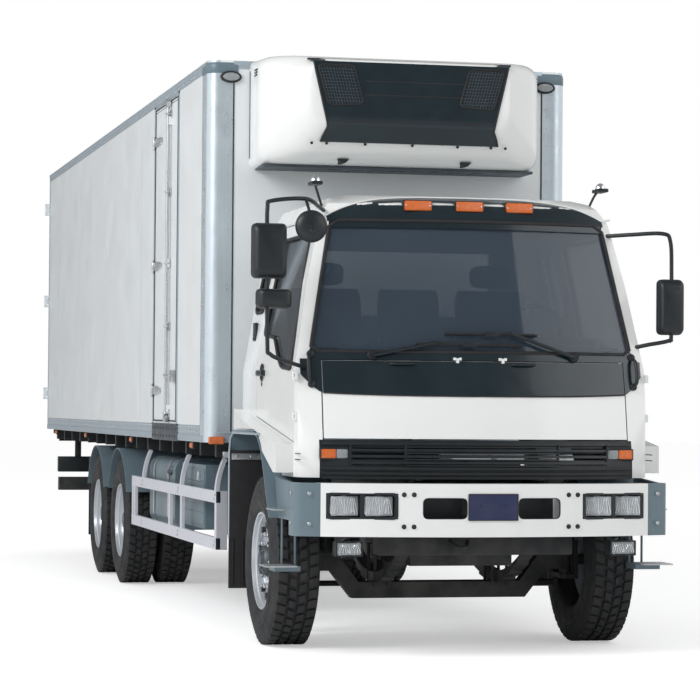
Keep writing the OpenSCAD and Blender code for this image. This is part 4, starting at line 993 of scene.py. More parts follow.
for name, s in SIDES:
    y0, y1 = s * 0.562, s * 0.968
    outer = box_outline(y0, y1, LAMP_Z - 0.078, LAMP_Z + 0.078, 0.030)
    inner = box_outline(y0 + s * 0.016, y1 - s * 0.016, LAMP_Z - 0.064, LAMP_Z + 0.064, 0.022)
    bezel = Piece(f"lamp_bezel_{name}")
    rim(bezel, outer, inner, 0.004, 0.085)
    bowed_prism(bezel, box_outline(y0 + s * 0.008, y1 - s * 0.008, LAMP_Z - 0.070, LAMP_Z + 0.070, 0.02),
        -0.088, 0.10)
    bowed_prism(bezel, box_outline(s * 0.753, s * 0.777, LAMP_Z - 0.066, LAMP_Z + 0.066, 0.004), 0.001,
        0.085)
    bezel.done("chassis", "black_plastic", 40, replaces=("front_lamps",) if s < 0 else ())
    for label, a, b in (("inner", 0.586, 0.748), ("outer", 0.782, 0.944)):
        head_lamp(f"head_lamp_{name}_{label}", *sorted((s * a, s * b)), LAMP_Z - 0.057, LAMP_Z + 0.057,
            bump_x((a + b) / 2) - 0.012)
    fog = Piece(f"fog_lamp_{name}_housing")
    fy0, fy1 = sorted((s * 0.755, s * 0.915))
    fz0, fz1 = B_LOW - 0.117, B_LOW - 0.027
    fx = X_BUMPER - 0.110
    fog.block((fx - 0.105, fy0, fz0), (fx - 0.014, fy1, fz1), 0.012)
    fog.block((fx - 0.080, s * 0.825, fz1 - 0.004), (fx - 0.030, s * 0.845, B_LOW + 0.001), 0.004)
    for u, v in ((fy0, fy0 + 0.008), (fy1 - 0.008, fy1)):
        fog.block((fx - 0.03, u, fz0), (fx, v, fz1), 0.003)
    for u, v in ((fz0, fz0 + 0.008), (fz1 - 0.008, fz1)):
        fog.block((fx - 0.03, fy0, u), (fx, fy1, v), 0.003)
    fog.done("chassis", "black_plastic", 40)
    head_lamp(f"fog_lamp_{name}", fy0 + 0.009, fy1 - 0.009, fz0 + 0.009, fz1 - 0.009, fx - 0.004)
    vy0, vy1 = s * 0.150, s * 0.422
    opening = Piece(f"bumper_slot_{name}")
    rim(opening, box_outline(vy0, vy1, B_LOW + 0.100, B_TOP - 0.078, 0.0005),
        box_outline(vy0 + s * 0.004, vy1 - s * 0.004, B_LOW + 0.104, B_TOP - 0.082, 0.034), -0.0008, 0.012)
    opening.done("chassis", "cab_paint", 40)
    lining = Piece(f"bumper_slot_lining_{name}")
    rim(lining, box_outline(vy0 + s * 0.004, vy1 - s * 0.004, B_LOW + 0.104, B_TOP - 0.082, 0.034),
        box_outline(vy0 + s * 0.008, vy1 - s * 0.008, B_LOW + 0.108, B_TOP - 0.086, 0.030), -0.002, 0.016)
    bowed_prism(lining, box_outline(vy0 - s * 0.01, vy1 + s * 0.01, B_LOW + 0.07, B_TOP - 0.05, 0.01),
        -0.19, 0.20)
    lining.done("chassis", "black_plastic", 40)
    bolts = Piece(f"bumper_bolts_{name}")
    for y in (0.469, 0.527):
        for z in (B_TOP - 0.064, B_LOW + 0.060):
            bolts.disc((bump_x(y), s * y, z), (1, 0, 0), 0.014, 0.004, 0.001, 20)
            bolts.disc((bump_x(y), s * y, z), (1, 0, 0), 0.0095, 0.011, 0.003, 6)
    bolts.done("chassis", "black_plastic", 30)
    caps = Piece(f"cap_bolts_{name}")
    for z in (B_TOP - 0.06, B_LOW + 0.075):
        caps.disc((bump_x(1.03) - 0.004, s * 1.065, z), (1, 0, 0), 0.011, 0.008, 0.002, 16)
        caps.disc((bump_x(1.03) - 0.14, s * (cap_hi.y - 0.0005), z), (0, s, 0), 0.011, 0.008, 0.002, 16)
    caps.done("chassis", "stainless", 30)

plate = Piece("number_plate_blank")
bowed_prism(plate, box_outline(-0.150, 0.150, B_LOW + 0.097, B_TOP - 0.058, 0.006), 0.0075, 0.0)
plate.done("chassis", "plate_blue", 30)
border = Piece("number_plate_edge")
rim(border, box_outline(-0.151, 0.151, B_LOW + 0.096, B_TOP - 0.057, 0.006),
    box_outline(-0.146, 0.146, B_LOW + 0.101, B_TOP - 0.062, 0.005), 0.0095, 0.002)
for y in (-0.075, 0.075):
    border.disc((bump_x(y) + 0.007, y, B_LOW + 0.185), (1, 0, 0), 0.005, 0.004, 0.001, 12)
border.done("chassis", "frame_paint", 30, "plate_blue")
under_beam = Piece("bumper_under_beam")
under_beam.block((X_BUMPER - 0.52, -0.60, B_LOW - 0.125), (X_BUMPER - 0.36, 0.60, B_LOW - 0.015), 0.012)
for y in (-0.46, 0.46):
    under_beam.block((X_BUMPER - 0.50, y - 0.05, B_LOW - 0.02), (X_BUMPER - 0.38, y + 0.05, B_LOW + 0.10),
        0.006)
under_beam.tube(smooth_path([(X_BUMPER - 0.40, -0.18, B_LOW - 0.02), (X_BUMPER - 0.30, -0.14, B_LOW - 0.07),
        (X_BUMPER - 0.30, -0.08, B_LOW - 0.07), (X_BUMPER - 0.40, -0.04, B_LOW - 0.02)], 5), 0.011, 8)
under_beam.done("chassis", "frame_paint", 40)


# Box hardware -------------------------------------------------------------------------------------

W = HALF_W
X_DOOR = X_BOX - 2.30
DOOR_W = 1.06


def rivets(piece, a, b, pitch, normal, r=0.006, h=0.003):
    """A row of dome rivets between two points."""
    a, b = Vector(a), Vector(b)
    n = max(1, int((b - a).length / pitch))
    for k in range(n + 1):
        piece.lathe(a.lerp(b, k / n), normal, [(0, -0.001), (r, -0.001), (r * 0.9, h * 0.5), (r * 0.5, h),
                (0, h * 1.05)], 8)
    return piece


for name, s in SIDES:
    low = Piece(f"bottom_rail_{name}")
    spans = [(X_REAR + 0.03, X_DOOR - 0.05), (X_DOOR + DOOR_W + 0.06, X_BOX - 0.09)] if s < 0 else [
        (X_REAR + 0.03, X_BOX - 0.09)]
    for a, b in spans:
        low.prism([(s * (W + y), BOX_LOW + z) for y, z in ((-0.004, 0.001), (0.005, 0.004), (0.005, 0.042),
                (0.0015, 0.050), (0.0015, 0.112), (-0.004, 0.120))], "x", a, b)
    low.done("chassis", "rail_alu", 20)
    face = s * (W + 0.0015)
    rail_rivets = Piece(f"rail_rivets_{name}")
    for a, b in spans:
        for z in (BOX_LOW + 0.066, BOX_LOW + 0.098):
            rivets(rail_rivets, (a + 0.04, face, z), (b - 0.04, face, z), 0.11, (0, s, 0))
    rivets(rail_rivets, (X_REAR + 0.08, face, BOX_TOP - 0.055), (X_BOX - 0.14, face, BOX_TOP - 0.055), 0.11,
        (0, s, 0))
    rail_rivets.done("chassis", "stainless", 60, "rail_aluminium")
    top = Piece(f"top_rail_{name}")
    top.prism([(s * (W + y), BOX_TOP - z) for y, z in ((-0.004, 0.082), (0.0015, 0.074), (0.0015, 0.034),
            (0.006, 0.028), (0.006, 0.010), (-0.002, 0.001), (-0.06, 0.0005), (-0.06, 0.006),
            (-0.01, 0.01))], "x", X_REAR + 0.03, X_BOX - 0.09)
    top.done("chassis", "rail_alu", 20)
    seam = Piece(f"panel_seams_{name}")
    for x in (X_BOX - 3.0, X_BOX - 8.46):
        seam.block((x - 0.002, s * (W - 0.002), BOX_LOW + 0.12),
            (x + 0.002, s * (W + 0.0008), BOX_TOP - 0.08), 0.0004)
    seam.done("chassis", "rail_alu", 40)
    # corner post: rounded extrusion with side and front flanges, and a cast cap
    post = Piece(f"post_skin_{name}")
    arc = [(X_BOX - 0.092, W + 0.0035)]
    arc += [(X_BOX - 0.080 + 0.084 * math.sin(t), W - 0.080 + 0.084 * math.cos(t))
        for t in spread(0.0, math.pi / 2, 12)]
    arc += [(X_BOX + 0.0035, W - 0.092)]
    flange_side = [(X_BOX - 0.215, W + 0.0005), (X_BOX - 0.213, W + 0.003), (X_BOX - 0.10, W + 0.003)]
    flange_front = [(X_BOX + 0.003, W - 0.105), (X_BOX + 0.003, W - 0.165), (X_BOX + 0.0005, W - 0.167)]
    line = flange_side + arc + flange_front
    poly = [(x, s * y) for x, y in line] + [(x - 0.004, s * (y - 0.006)) for x, y in reversed(line)]
    post.prism(poly, "z", BOX_LOW + 0.002, BOX_TOP - 0.085)
    post.done("chassis", "post_alu", 32)
    bead = Piece(f"post_seals_{name}")
    bead.block((X_BOX + 0.0005, s * (W - 0.168), BOX_LOW + 0.01),
        (X_BOX + 0.005, s * (W - 0.175), BOX_TOP - 0.09), 0.001)
    bead.block((X_BOX - 0.222, s * (W - 0.001), BOX_LOW + 0.01),
        (X_BOX - 0.215, s * (W + 0.003), BOX_TOP - 0.09), 0.001)
    bead.done("chassis", "rubber", 40)
    post_rivets = Piece(f"post_rivets_{name}")
    ends_z = BOX_LOW + 0.06, BOX_TOP - 0.14
    rivets(post_rivets, *((X_BOX - 0.16, s * (W + 0.003), z) for z in ends_z), 0.12, (0, s, 0), 0.005)
    rivets(post_rivets, *((X_BOX + 0.003, s * (W - 0.135), z) for z in ends_z), 0.12, (1, 0, 0), 0.005)
    post_rivets.done("chassis", "stainless", 60, "rail_aluminium")
    cap = Piece(f"corner_cap_{name}")
    ring_of_cap = []
    for drop, grow in ((0.088, 0.0035), (0.084, 0.0065), (0.034, 0.0065), (0.014, 0.0), (0.004, -0.014),
            (0.0005, -0.035)):
        z = BOX_TOP - drop
        turn = [(X_BOX - 0.080 + (0.080 + grow) * math.sin(t), s * (
                W - 0.080 + (0.080 + grow) * math.cos(t)), z) for t in spread(0.0, math.pi / 2, 10)]
        ring_of_cap.append([(X_BOX - 0.225, s * (W - 0.20), z), (X_BOX - 0.225, s * (W + grow), z)] + turn
            + [(X_BOX + grow, s * (W - 0.20), z)])
    loft(cap, ring_of_cap)
    cap.done("chassis", "wing_paint", 40)
    # front marker lamp and lower corner lamp
    ym = s * 1.10
    for part, (ry, rz, out) in (("ring", (0.073, 0.040, 0.022)), ("lens", (0.058, 0.028, 0.030))):
        piece = Piece(f"front_marker_{part}_{name}")
        loft(piece, [[(X_BOX + out * u, ym + ry * v * math.cos(math.tau * k / 28),
                3.688 + rz * v * math.sin(math.tau * k / 28)) for k in range(28)] for u,
                v in ((0.0, 1.0), (0.6, 1.0), (0.9, 0.94), (1.0, 0.8))])
        piece.done("chassis", "rubber" if part == "ring" else "clear_lens", 45)
    lamps = (X_BOX - 0.55, X_BOX - 3.46, X_BOX - 6.29, X_BOX - 8.56)
    marker_bases = Piece(f"side_marker_bases_{name}")
    marker_lenses = Piece(f"side_marker_lenses_{name}")
    for x in lamps:
        marker_bases.block((x - 0.055, s * (W - 0.02), BOX_LOW - 0.048),
            (x + 0.055, s * (W + 0.002), BOX_LOW - 0.003), 0.005)
        marker_lenses.block((x - 0.046, s * (W - 0.004), BOX_LOW - 0.042),
            (x + 0.046, s * (W + 0.011), BOX_LOW - 0.010), 0.007, 3)
    marker_bases.done("chassis", "black_plastic", 40)
    marker_lenses.done("chassis", "amber", 45)
    lower = Piece(f"corner_lamp_{name}")
    lower.block((X_BOX + 0.004, s * 1.13, BOX_LOW - 0.01), (X_BOX + 0.05, s * 1.235, BOX_LOW + 0.040),
        0.010, 3)
    lower.done("chassis", "amber", 45)

front = Piece("front_wall_trim")
front.block((X_BOX - 0.001, -W + 0.17, BOX_TOP - 0.055), (X_BOX + 0.004, W - 0.17, BOX_TOP - 0.002), 0.0015)
front.block((X_BOX - 0.001, -W + 0.17, BOX_LOW + 0.002), (X_BOX + 0.004, W - 0.17, BOX_LOW + 0.085), 0.0015)
front.done("chassis", "rail_alu", 40)
wall_rivets = Piece("front_wall_rivets")
rivets(wall_rivets, (X_BOX + 0.004, -W + 0.20, BOX_LOW + 0.045), (X_BOX + 0.004, W - 0.20, BOX_LOW + 0.045),
    0.10, (1, 0, 0))
rivets(wall_rivets, (X_BOX + 0.004, -W + 0.20, BOX_TOP - 0.030), (X_BOX + 0.004, W - 0.20, BOX_TOP - 0.030),
    0.10, (1, 0, 0))
wall_rivets.done("chassis", "stainless", 60, "rail_aluminium")

# Side door: frame seal, straps, lock rod, guides, handle, threshold
door_x0, door_x1 = X_DOOR, X_DOOR + DOOR_W
door_low, door_high = BOX_LOW + 0.125, BOX_TOP - 0.09
door_frame = Piece("side_door_frame")
for a, b in ((door_x0 - 0.050, door_x0 - 0.006), (door_x1 + 0.006, door_x1 + 0.050)):
    door_frame.block((a, -W + 0.001, door_low - 0.02), (b, -W - 0.0045, door_high + 0.02), 0.0015)
door_frame.block((door_x0 - 0.05, -W + 0.001, door_high - 0.002),
    (door_x1 + 0.05, -W - 0.0045, door_high + 0.022), 0.0015)
door_frame.done("chassis", "rail_alu", 40)
sill = Piece("side_door_threshold")
sill.block((door_x0 - 0.03, -W + 0.01, BOX_LOW - 0.008), (door_x1 + 0.10, -W - 0.008, BOX_LOW + 0.112),
    0.004)
sill.block((door_x0 - 0.03, -W, BOX_LOW + 0.104), (door_x1 + 0.10, -W - 0.013, BOX_LOW + 0.116), 0.003)
for k in range(9):
    for z in (BOX_LOW + 0.025, BOX_LOW + 0.080):
        sill.disc((door_x0 + 0.03 + 0.13 * k, -W - 0.008, z), (0, -1, 0), 0.009, 0.006, 0.002, 10)
sill.done("chassis", "dark_steel", 35)
door_seal = Piece("side_door_seal")
path = [(door_x0 + 0.012, -W - 0.001, door_low + 0.01), (door_x1 - 0.012, -W - 0.001, door_low + 0.01),
    (door_x1 - 0.012, -W - 0.001, door_high - 0.014), (door_x0 + 0.012, -W - 0.001, door_high - 0.014),
    (door_x0 + 0.012, -W - 0.001, door_low + 0.01)]
for a, b in zip(path, path[1:]):
    door_seal.tube([a, b], 0.0055, 6)
door_seal.done("box_side_door", "rubber", 60)
for k, z in enumerate((BOX_LOW + 0.36, BOX_LOW + 1.29, BOX_LOW + 2.22)):
    strap = Piece(f"side_strap_{k + 1}")
    strap.prism([(door_x0 + x, z + dz) for x, dz in ((0.004, -0.030), (0.12, -0.034), (0.345, -0.018),
            (0.352, 0.0), (0.345, 0.018), (0.12, 0.034), (0.004, 0.030))], "y", -W - 0.0115, -W - 0.0005,
        0.0015)
    strap.lathe((door_x0, -W - 0.015, z - 0.026), (0, 0, 1), [(0.004, 0), (0.0105, 0), (0.0115, 0.004),
            (0.0115, 0.048), (0.0105, 0.052), (0.004, 0.052)], 20)
    for j in range(5):
        strap.disc((door_x0 + 0.07 + 0.062 * j, -W - 0.0115, z), (0, -1, 0), 0.008, 0.005, 0.002, 12)
    strap.done("box_side_door", "stainless", 35)
    hinge_plate = Piece(f"side_hinge_plate_{k + 1}")
    for dz in (-0.050, 0.030):
        hinge_plate.block((door_x0 - 0.052, -W, z + dz), (door_x0 - 0.004, -W - 0.010, z + dz + 0.020),
            0.002)
        hinge_plate.lathe((door_x0, -W - 0.015, z + dz), (0, 0, 1),
            [(0.0, 0), (0.0105, 0), (0.0105, 0.020), (0.0, 0.020)], 20)
        hinge_plate.disc((door_x0 - 0.032, -W - 0.010, z + dz + 0.010), (0, -1, 0), 0.006, 0.004, 0.001, 10)
    hinge_plate.done("chassis", "stainless", 35)
rod_x = door_x1 - 0.33
gear = Piece("side_door_lock")
gear.tube([(rod_x, -W - 0.025, door_low + 0.02), (rod_x, -W - 0.025, door_high - 0.02)], 0.0135, 14)
for z in (BOX_LOW + 0.19, BOX_LOW + 0.82, BOX_LOW + 1.28, BOX_LOW + 1.80, BOX_TOP - 0.20):
    gear.block((rod_x - 0.042, -W - 0.0005, z - 0.030), (rod_x + 0.042, -W - 0.008, z + 0.030), 0.003)
    gear.tube(smooth_path([(rod_x + x, -W - out, z) for x, out in ((-0.026, 0.005), (-0.020, 0.034),
            (0.0, 0.0405), (0.020, 0.034), (0.026, 0.005))], 4), 0.007, 8, 0.007)
    for u in (-1, 1):
        for v in (-1, 1):
            gear.disc((rod_x + 0.034 * u, -W - 0.008, z + 0.020 * v), (0, -1, 0), 0.0055, 0.004, 0.001, 10)
for z in (door_low + 0.03, door_high - 0.03):
    gear.prism([(rod_x + x, z + dz) for x, dz in ((-0.032, -0.028), (0.022, -0.030), (0.040, 0.004),
            (0.010, 0.030), (-0.032, 0.018))], "y", -W - 0.040, -W - 0.010, 0.003)
handle_z = BOX_LOW + 0.47
gear.tube(smooth_path([(rod_x + x, -W - out, handle_z - drop) for x, out,
        drop in ((0.0, 0.030, 0.0), (0.05, 0.044, 0.005), (0.25, 0.044, 0.01), (0.28, 0.038, 0.01))], 5),
    0.010, 10)
gear.block((rod_x + 0.20, -W - 0.001, handle_z - 0.055), (rod_x + 0.29, -W - 0.030, handle_z + 0.03), 0.006)
gear.done("box_side_door", "stainless", 38)


# Wings, guards, mirrors and seats -----------------------------------------------------------------

ARCH_Z = TYRE_R * 2 + 0.28
for name, s in SIDES:
    lip = Piece(f"wing_lip_{name}")
    pts = [(X_AXLE - 0.728, 0.62), (X_AXLE - 0.728, ARCH_Z - 0.14), (X_AXLE - 0.69, ARCH_Z - 0.05),
        (X_AXLE - 0.60, ARCH_Z - 0.014), (X_AXLE + 0.28, ARCH_Z - 0.014)]
    lip.tube([(x, s * 1.202, z) for x, z in pts], 0.008, 8)
    lip.done("chassis", "rail_alu", 60, "wing_paint")
    flap = Piece(f"front_mudflap_{name}")
    xf = X_AXLE - 0.738
    flap.block((xf - 0.006, s * 0.815, 0.300), (xf + 0.018, s * 1.2015, ARCH_Z - 0.13), 0.003)
    for k in range(6):
        y = 0.85 + 0.065 * k
        flap.block((xf - 0.010, s * (y - 0.006), 0.32), (xf + 0.022, s * (y + 0.006), 0.62), 0.003)
    flap.done("chassis", "rubber", 40)
    strip = Piece(f"front_mudflap_strip_{name}")
    strip.block((xf + 0.018, s * 0.83, ARCH_Z - 0.19), (xf + 0.026, s * 1.19, ARCH_Z - 0.15), 0.003)
    for k in range(4):
        strip.disc((xf + 0.026, s * (0.87 + 0.095 * k), ARCH_Z - 0.17), (1, 0, 0), 0.010, 0.006, 0.002, 12)
    strip.done("chassis", "stainless", 35)
    tread = Piece(f"cab_step_{name}")
    for z in (0.515, 0.85):
        tread_z = z + 0.016
        for k in range(8):
            x = X_BUMPER - 0.64 + 0.028 * k
            tread.block((x, s * 1.075, tread_z - 0.003), (x + 0.012, s * (1.225 if z > 0.6 else 1.265),
                    tread_z + 0.006), 0.002)
    tread.done("chassis", "stainless", 40)

# Side guards: rail ends, slot nuts and stay clamps
for name, s in SIDES:
    glo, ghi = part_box(f"side_guard_{name}")
    fixings = Piece(f"guard_fixings_{name}")
    end_caps = Piece(f"guard_end_caps_{name}")
    yo = s * 1.2005
    for z in (0.56, 0.87):
        for x in (glo.x + 0.004, ghi.x - 0.004):
            end_caps.block((x - 0.005, s * 1.172, z - 0.038), (x + 0.005, s * 1.2012, z + 0.038), 0.003)
        for dx in (-3.18, -1.43, 0.09):
            for k in (-0.014, 0.014):
                fixings.disc((X_BOX + dx + k, yo, z + k), (0, s, 0), 0.009, 0.006, 0.002, 10)
    fixings.done("chassis", "stainless", 35)
    end_caps.done("chassis", "black_plastic", 40)


def mirror_head(name, x0, x1, y0, y1, z0, z1, r=0.035):
    """A mirror: a moulded shell bulging forward, and its glass facing back in a lip."""
    ys = sorted((y0, y1))
    ym, zm = (y0 + y1) / 2, (z0 + z1) / 2
    rings = []
    for x, k in ((x0, 1.0), (x0 + (x1 - x0) * 0.35, 1.0), (x0 + (x1 - x0) * 0.70, 0.94),
            (x0 + (x1 - x0) * 0.90, 0.84), (x1, 0.66)):
        rings.append([(x, ym + (p - ym) * k, zm + (q - zm) * k) for p,
                q in rounded([(ys[0], z0), (ys[1], z0), (ys[1], z1), (ys[0], z1)], r, 6)])
    loft(Piece(f"{name}_shell"), rings).done("cab", "black_plastic", 50)
    glass = Piece(f"{name}_face")
    glass.prism(rounded([(ys[0] + 0.012, z0 + 0.012), (ys[1] - 0.012, z0 + 0.012),
            (ys[1] - 0.012, z1 - 0.012), (ys[0] + 0.012, z1 - 0.012)], r * 0.8, 5), "x", x0 - 0.0025,
        x0 + 0.004)
    glass.done("cab", "mirror", 30)


def arm(name, points, r, replaces=(), extra=()):
    """A mirror arm bent from tube, with clamps round it."""
    piece = Piece(name).tube(smooth_path(points, 8), r, 12)
    for p in extra:
        piece.block(Vector(p) - Vector((0.022, 0.018, 0.024)), Vector(p) + Vector((0.022, 0.018, 0.024)),
            0.006)
    piece.done("cab", "black_plastic", 55, replaces=replaces)


F = X_FRONT
arm("mirror_arm_right", [(F - x, -y, z) for x, y, z in ((0.545, 0.850, CAB_TOP - 0.135),
        (0.40, 0.93, CAB_TOP - 0.11), (0.16, 1.06, CAB_TOP - 0.085), (0.115, 1.27, CAB_TOP - 0.105),
        (0.11, 1.298, CAB_TOP - 0.15), (0.11, 1.297, 2.40), (0.11, 1.292, 1.86), (0.125, 1.27, 1.78),
        (0.19, 1.14, 1.735), (0.255, 1.045, 1.712))], 0.0125, ("mirror_right",),
    ((F - 0.11, -1.297, 2.50), (F - 0.11, -1.296, 2.27), (F - 0.11, -1.293, 2.11)))
mirror_head("mirror_right_main", F - 0.165, F - 0.075, -1.176, -1.384, 2.225, 2.550)
mirror_head("mirror_right_wide", F - 0.165, F - 0.075, -1.145, -1.355, 2.050, 2.165, 0.03)
arm("front_mirror_arm", [(F - 0.155, -1.06, CAB_TOP - 0.087), (F - 0.09, -1.055, CAB_TOP - 0.15),
        (F - 0.055, -1.047, 2.575)], 0.009)
round_mirror = Piece("front_mirror_bowl")
round_mirror.lathe((F - 0.062, -1.047, 2.531), (1, 0, 0), [(0, 0.0), (0.090, 0.0), (0.0955, 0.004),
        (0.0955, 0.016), (0.085, 0.032), (0.05, 0.046), (0.0, 0.050)], 40)
round_mirror.disc((F - 0.02, -1.047, 2.50), (1, 0, 0), 0.016, 0.014, 0.004, 16)
round_mirror.done("cab", "black_plastic", 50)
Piece("front_mirror_face").lathe((F - 0.062, -1.047, 2.531), (-1, 0, 0),
    [(0, 0), (0.086, 0), (0.084, 0.002), (0.05, 0.006), (0, 0.009)], 40).done("cab", "mirror", 50)
arm("mirror_arm_left", [(F - x, y, z) for x, y, z in ((0.455, 0.885, 2.538), (0.34, 1.02, 2.545),
        (0.235, 1.185, 2.548), (0.226, 1.232, 2.50), (0.225, 1.240, 2.30), (0.225, 1.240, 1.93),
        (0.23, 1.225, 1.895), (0.28, 1.11, 1.87), (0.325, 1.035, 1.852))], 0.0125, ("mirror_left",),
    ((F - 0.225, 1.24, 2.22), (F - 0.225, 1.24, 1.97)))
mirror_head("mirror_left_main", F - 0.270, F - 0.185, 1.158, 1.320, 1.930, 2.270)


def cushion(name, shape, crown, seams, replaces=()):
    """A stuffed seat pad: shape maps (along, across, up) in 0..1 to a point; it swells between its seams."""
    rings = []
    for i in range(19):
        u = i / 18
        end = max(0.0, 1 - abs(2 * u - 1) ** 6) ** 0.5
        ring = []
        for k in range(36):
            c, d = math.cos(math.tau * k / 36), math.sin(math.tau * k / 36)
            v = math.copysign(abs(c) ** 0.34, c) * (0.46 + 0.04 * end)
            w = math.copysign(abs(d) ** 0.34, d) * (0.34 + 0.14 * end)
            if d > 0:
                across = [math.exp(-((v - q) / 0.03) ** 2) for q in seams]
                groove = max(across + [math.exp(-((u - 0.5) / 0.02) ** 2)])
                w += crown * (1 - (2 * u - 1) ** 2) * (1 - (2 * v) ** 4) - 0.07 * groove * end
            ring.append(shape(u, v + 0.5, w + 0.5))
        rings.append(ring)
    pad = loft(Piece(name), rings).done("cab", "seat_cloth", 60, replaces=replaces)


SEAT_LOW = ARCH_Z + 0.06
for k, (label, y) in enumerate((("passenger", -0.62), ("middle", -0.06), ("driver", 0.50))):
    half = 0.20 if label == "middle" else 0.24

    def base(u, v, w):
        return (X_CAB + 0.40 + 0.50 * u, y - half + 2 * half * v, SEAT_LOW + 0.13 + 0.13 * w)

    def back(u, v, w):
        z = SEAT_LOW + 0.20 + 0.66 * u
        return (X_CAB + 0.305 - 0.075 * u + 0.115 * w, y - half + 2 * half * v, z)

    cushion(f"seat_{label}_cushion", base, 0.16, (-0.30, 0.30), ("seats",) if k == 0 else ())
    cushion(f"seat_{label}_backrest", back, 0.22, (-0.30, 0.30))
    stand = Piece(f"seat_{label}_frame")
    stand.block((X_CAB + 0.425, y - half + 0.03, SEAT_LOW), (X_CAB + 0.87, y + half - 0.03,
            SEAT_LOW + 0.135), 0.012)
    stand.block((X_CAB + 0.315, y - half + 0.02, SEAT_LOW), (X_CAB + 0.42, y + half - 0.02,
            SEAT_LOW + 0.195), 0.012)
    stand.tube([(X_CAB + 0.36, y - half + 0.012, SEAT_LOW + 0.23),
            (X_CAB + 0.44, y - half + 0.012, SEAT_LOW + 0.20)], 0.018, 12)
    stand.done("cab", "cab_trim", 45)
for y in (-0.62, 0.50):
    rest = Piece(f"headrest_{'driver' if y > 0 else 'passenger'}")
    rings = []
    for u, g in ((0.0, 0.55), (0.08, 0.85), (0.25, 0.98), (0.5, 1.0), (0.75, 0.98), (0.92, 0.85),
            (1.0, 0.55)):
        rings.append([(X_CAB + 0.265 + q * g, y - 0.13 + 0.26 * u, SEAT_LOW + 0.955 + p * g) for p,
                q in rounded([(-0.075, -0.045), (0.075, -0.045), (0.075, 0.045), (-0.075, 0.045)], 0.03,
                5)])
    loft(rest, rings)
    pad = rest.done("cab", "seat_cloth", 60)

# Dashboard top, instrument hood and steering column shroud
hood = Piece("instrument_hood")
dash_lo, dash_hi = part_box("dashboard")
hood.prism([(dash_hi.x - 0.10, 1.852), (dash_hi.x - 0.30, 1.852), (dash_hi.x - 0.31, 1.885),
        (dash_hi.x - 0.24, 1.915), (dash_hi.x - 0.12, 1.875)], "y", 0.26, 0.74, 0.012)
hood.block((dash_hi.x - 0.28, -0.60, 1.852), (dash_hi.x - 0.06, -0.20, 1.862), 0.004)
hood.done("cab", "cab_trim", 45)
column = Piece("column_shroud")
column.block((dash_lo.x + 0.02, 0.44, 1.70), (dash_hi.x - 0.20, 0.56, 1.80), 0.025)
column.done("cab", "cab_trim", 45)


# Back of the box and the underside ----------------------------------------------------------------

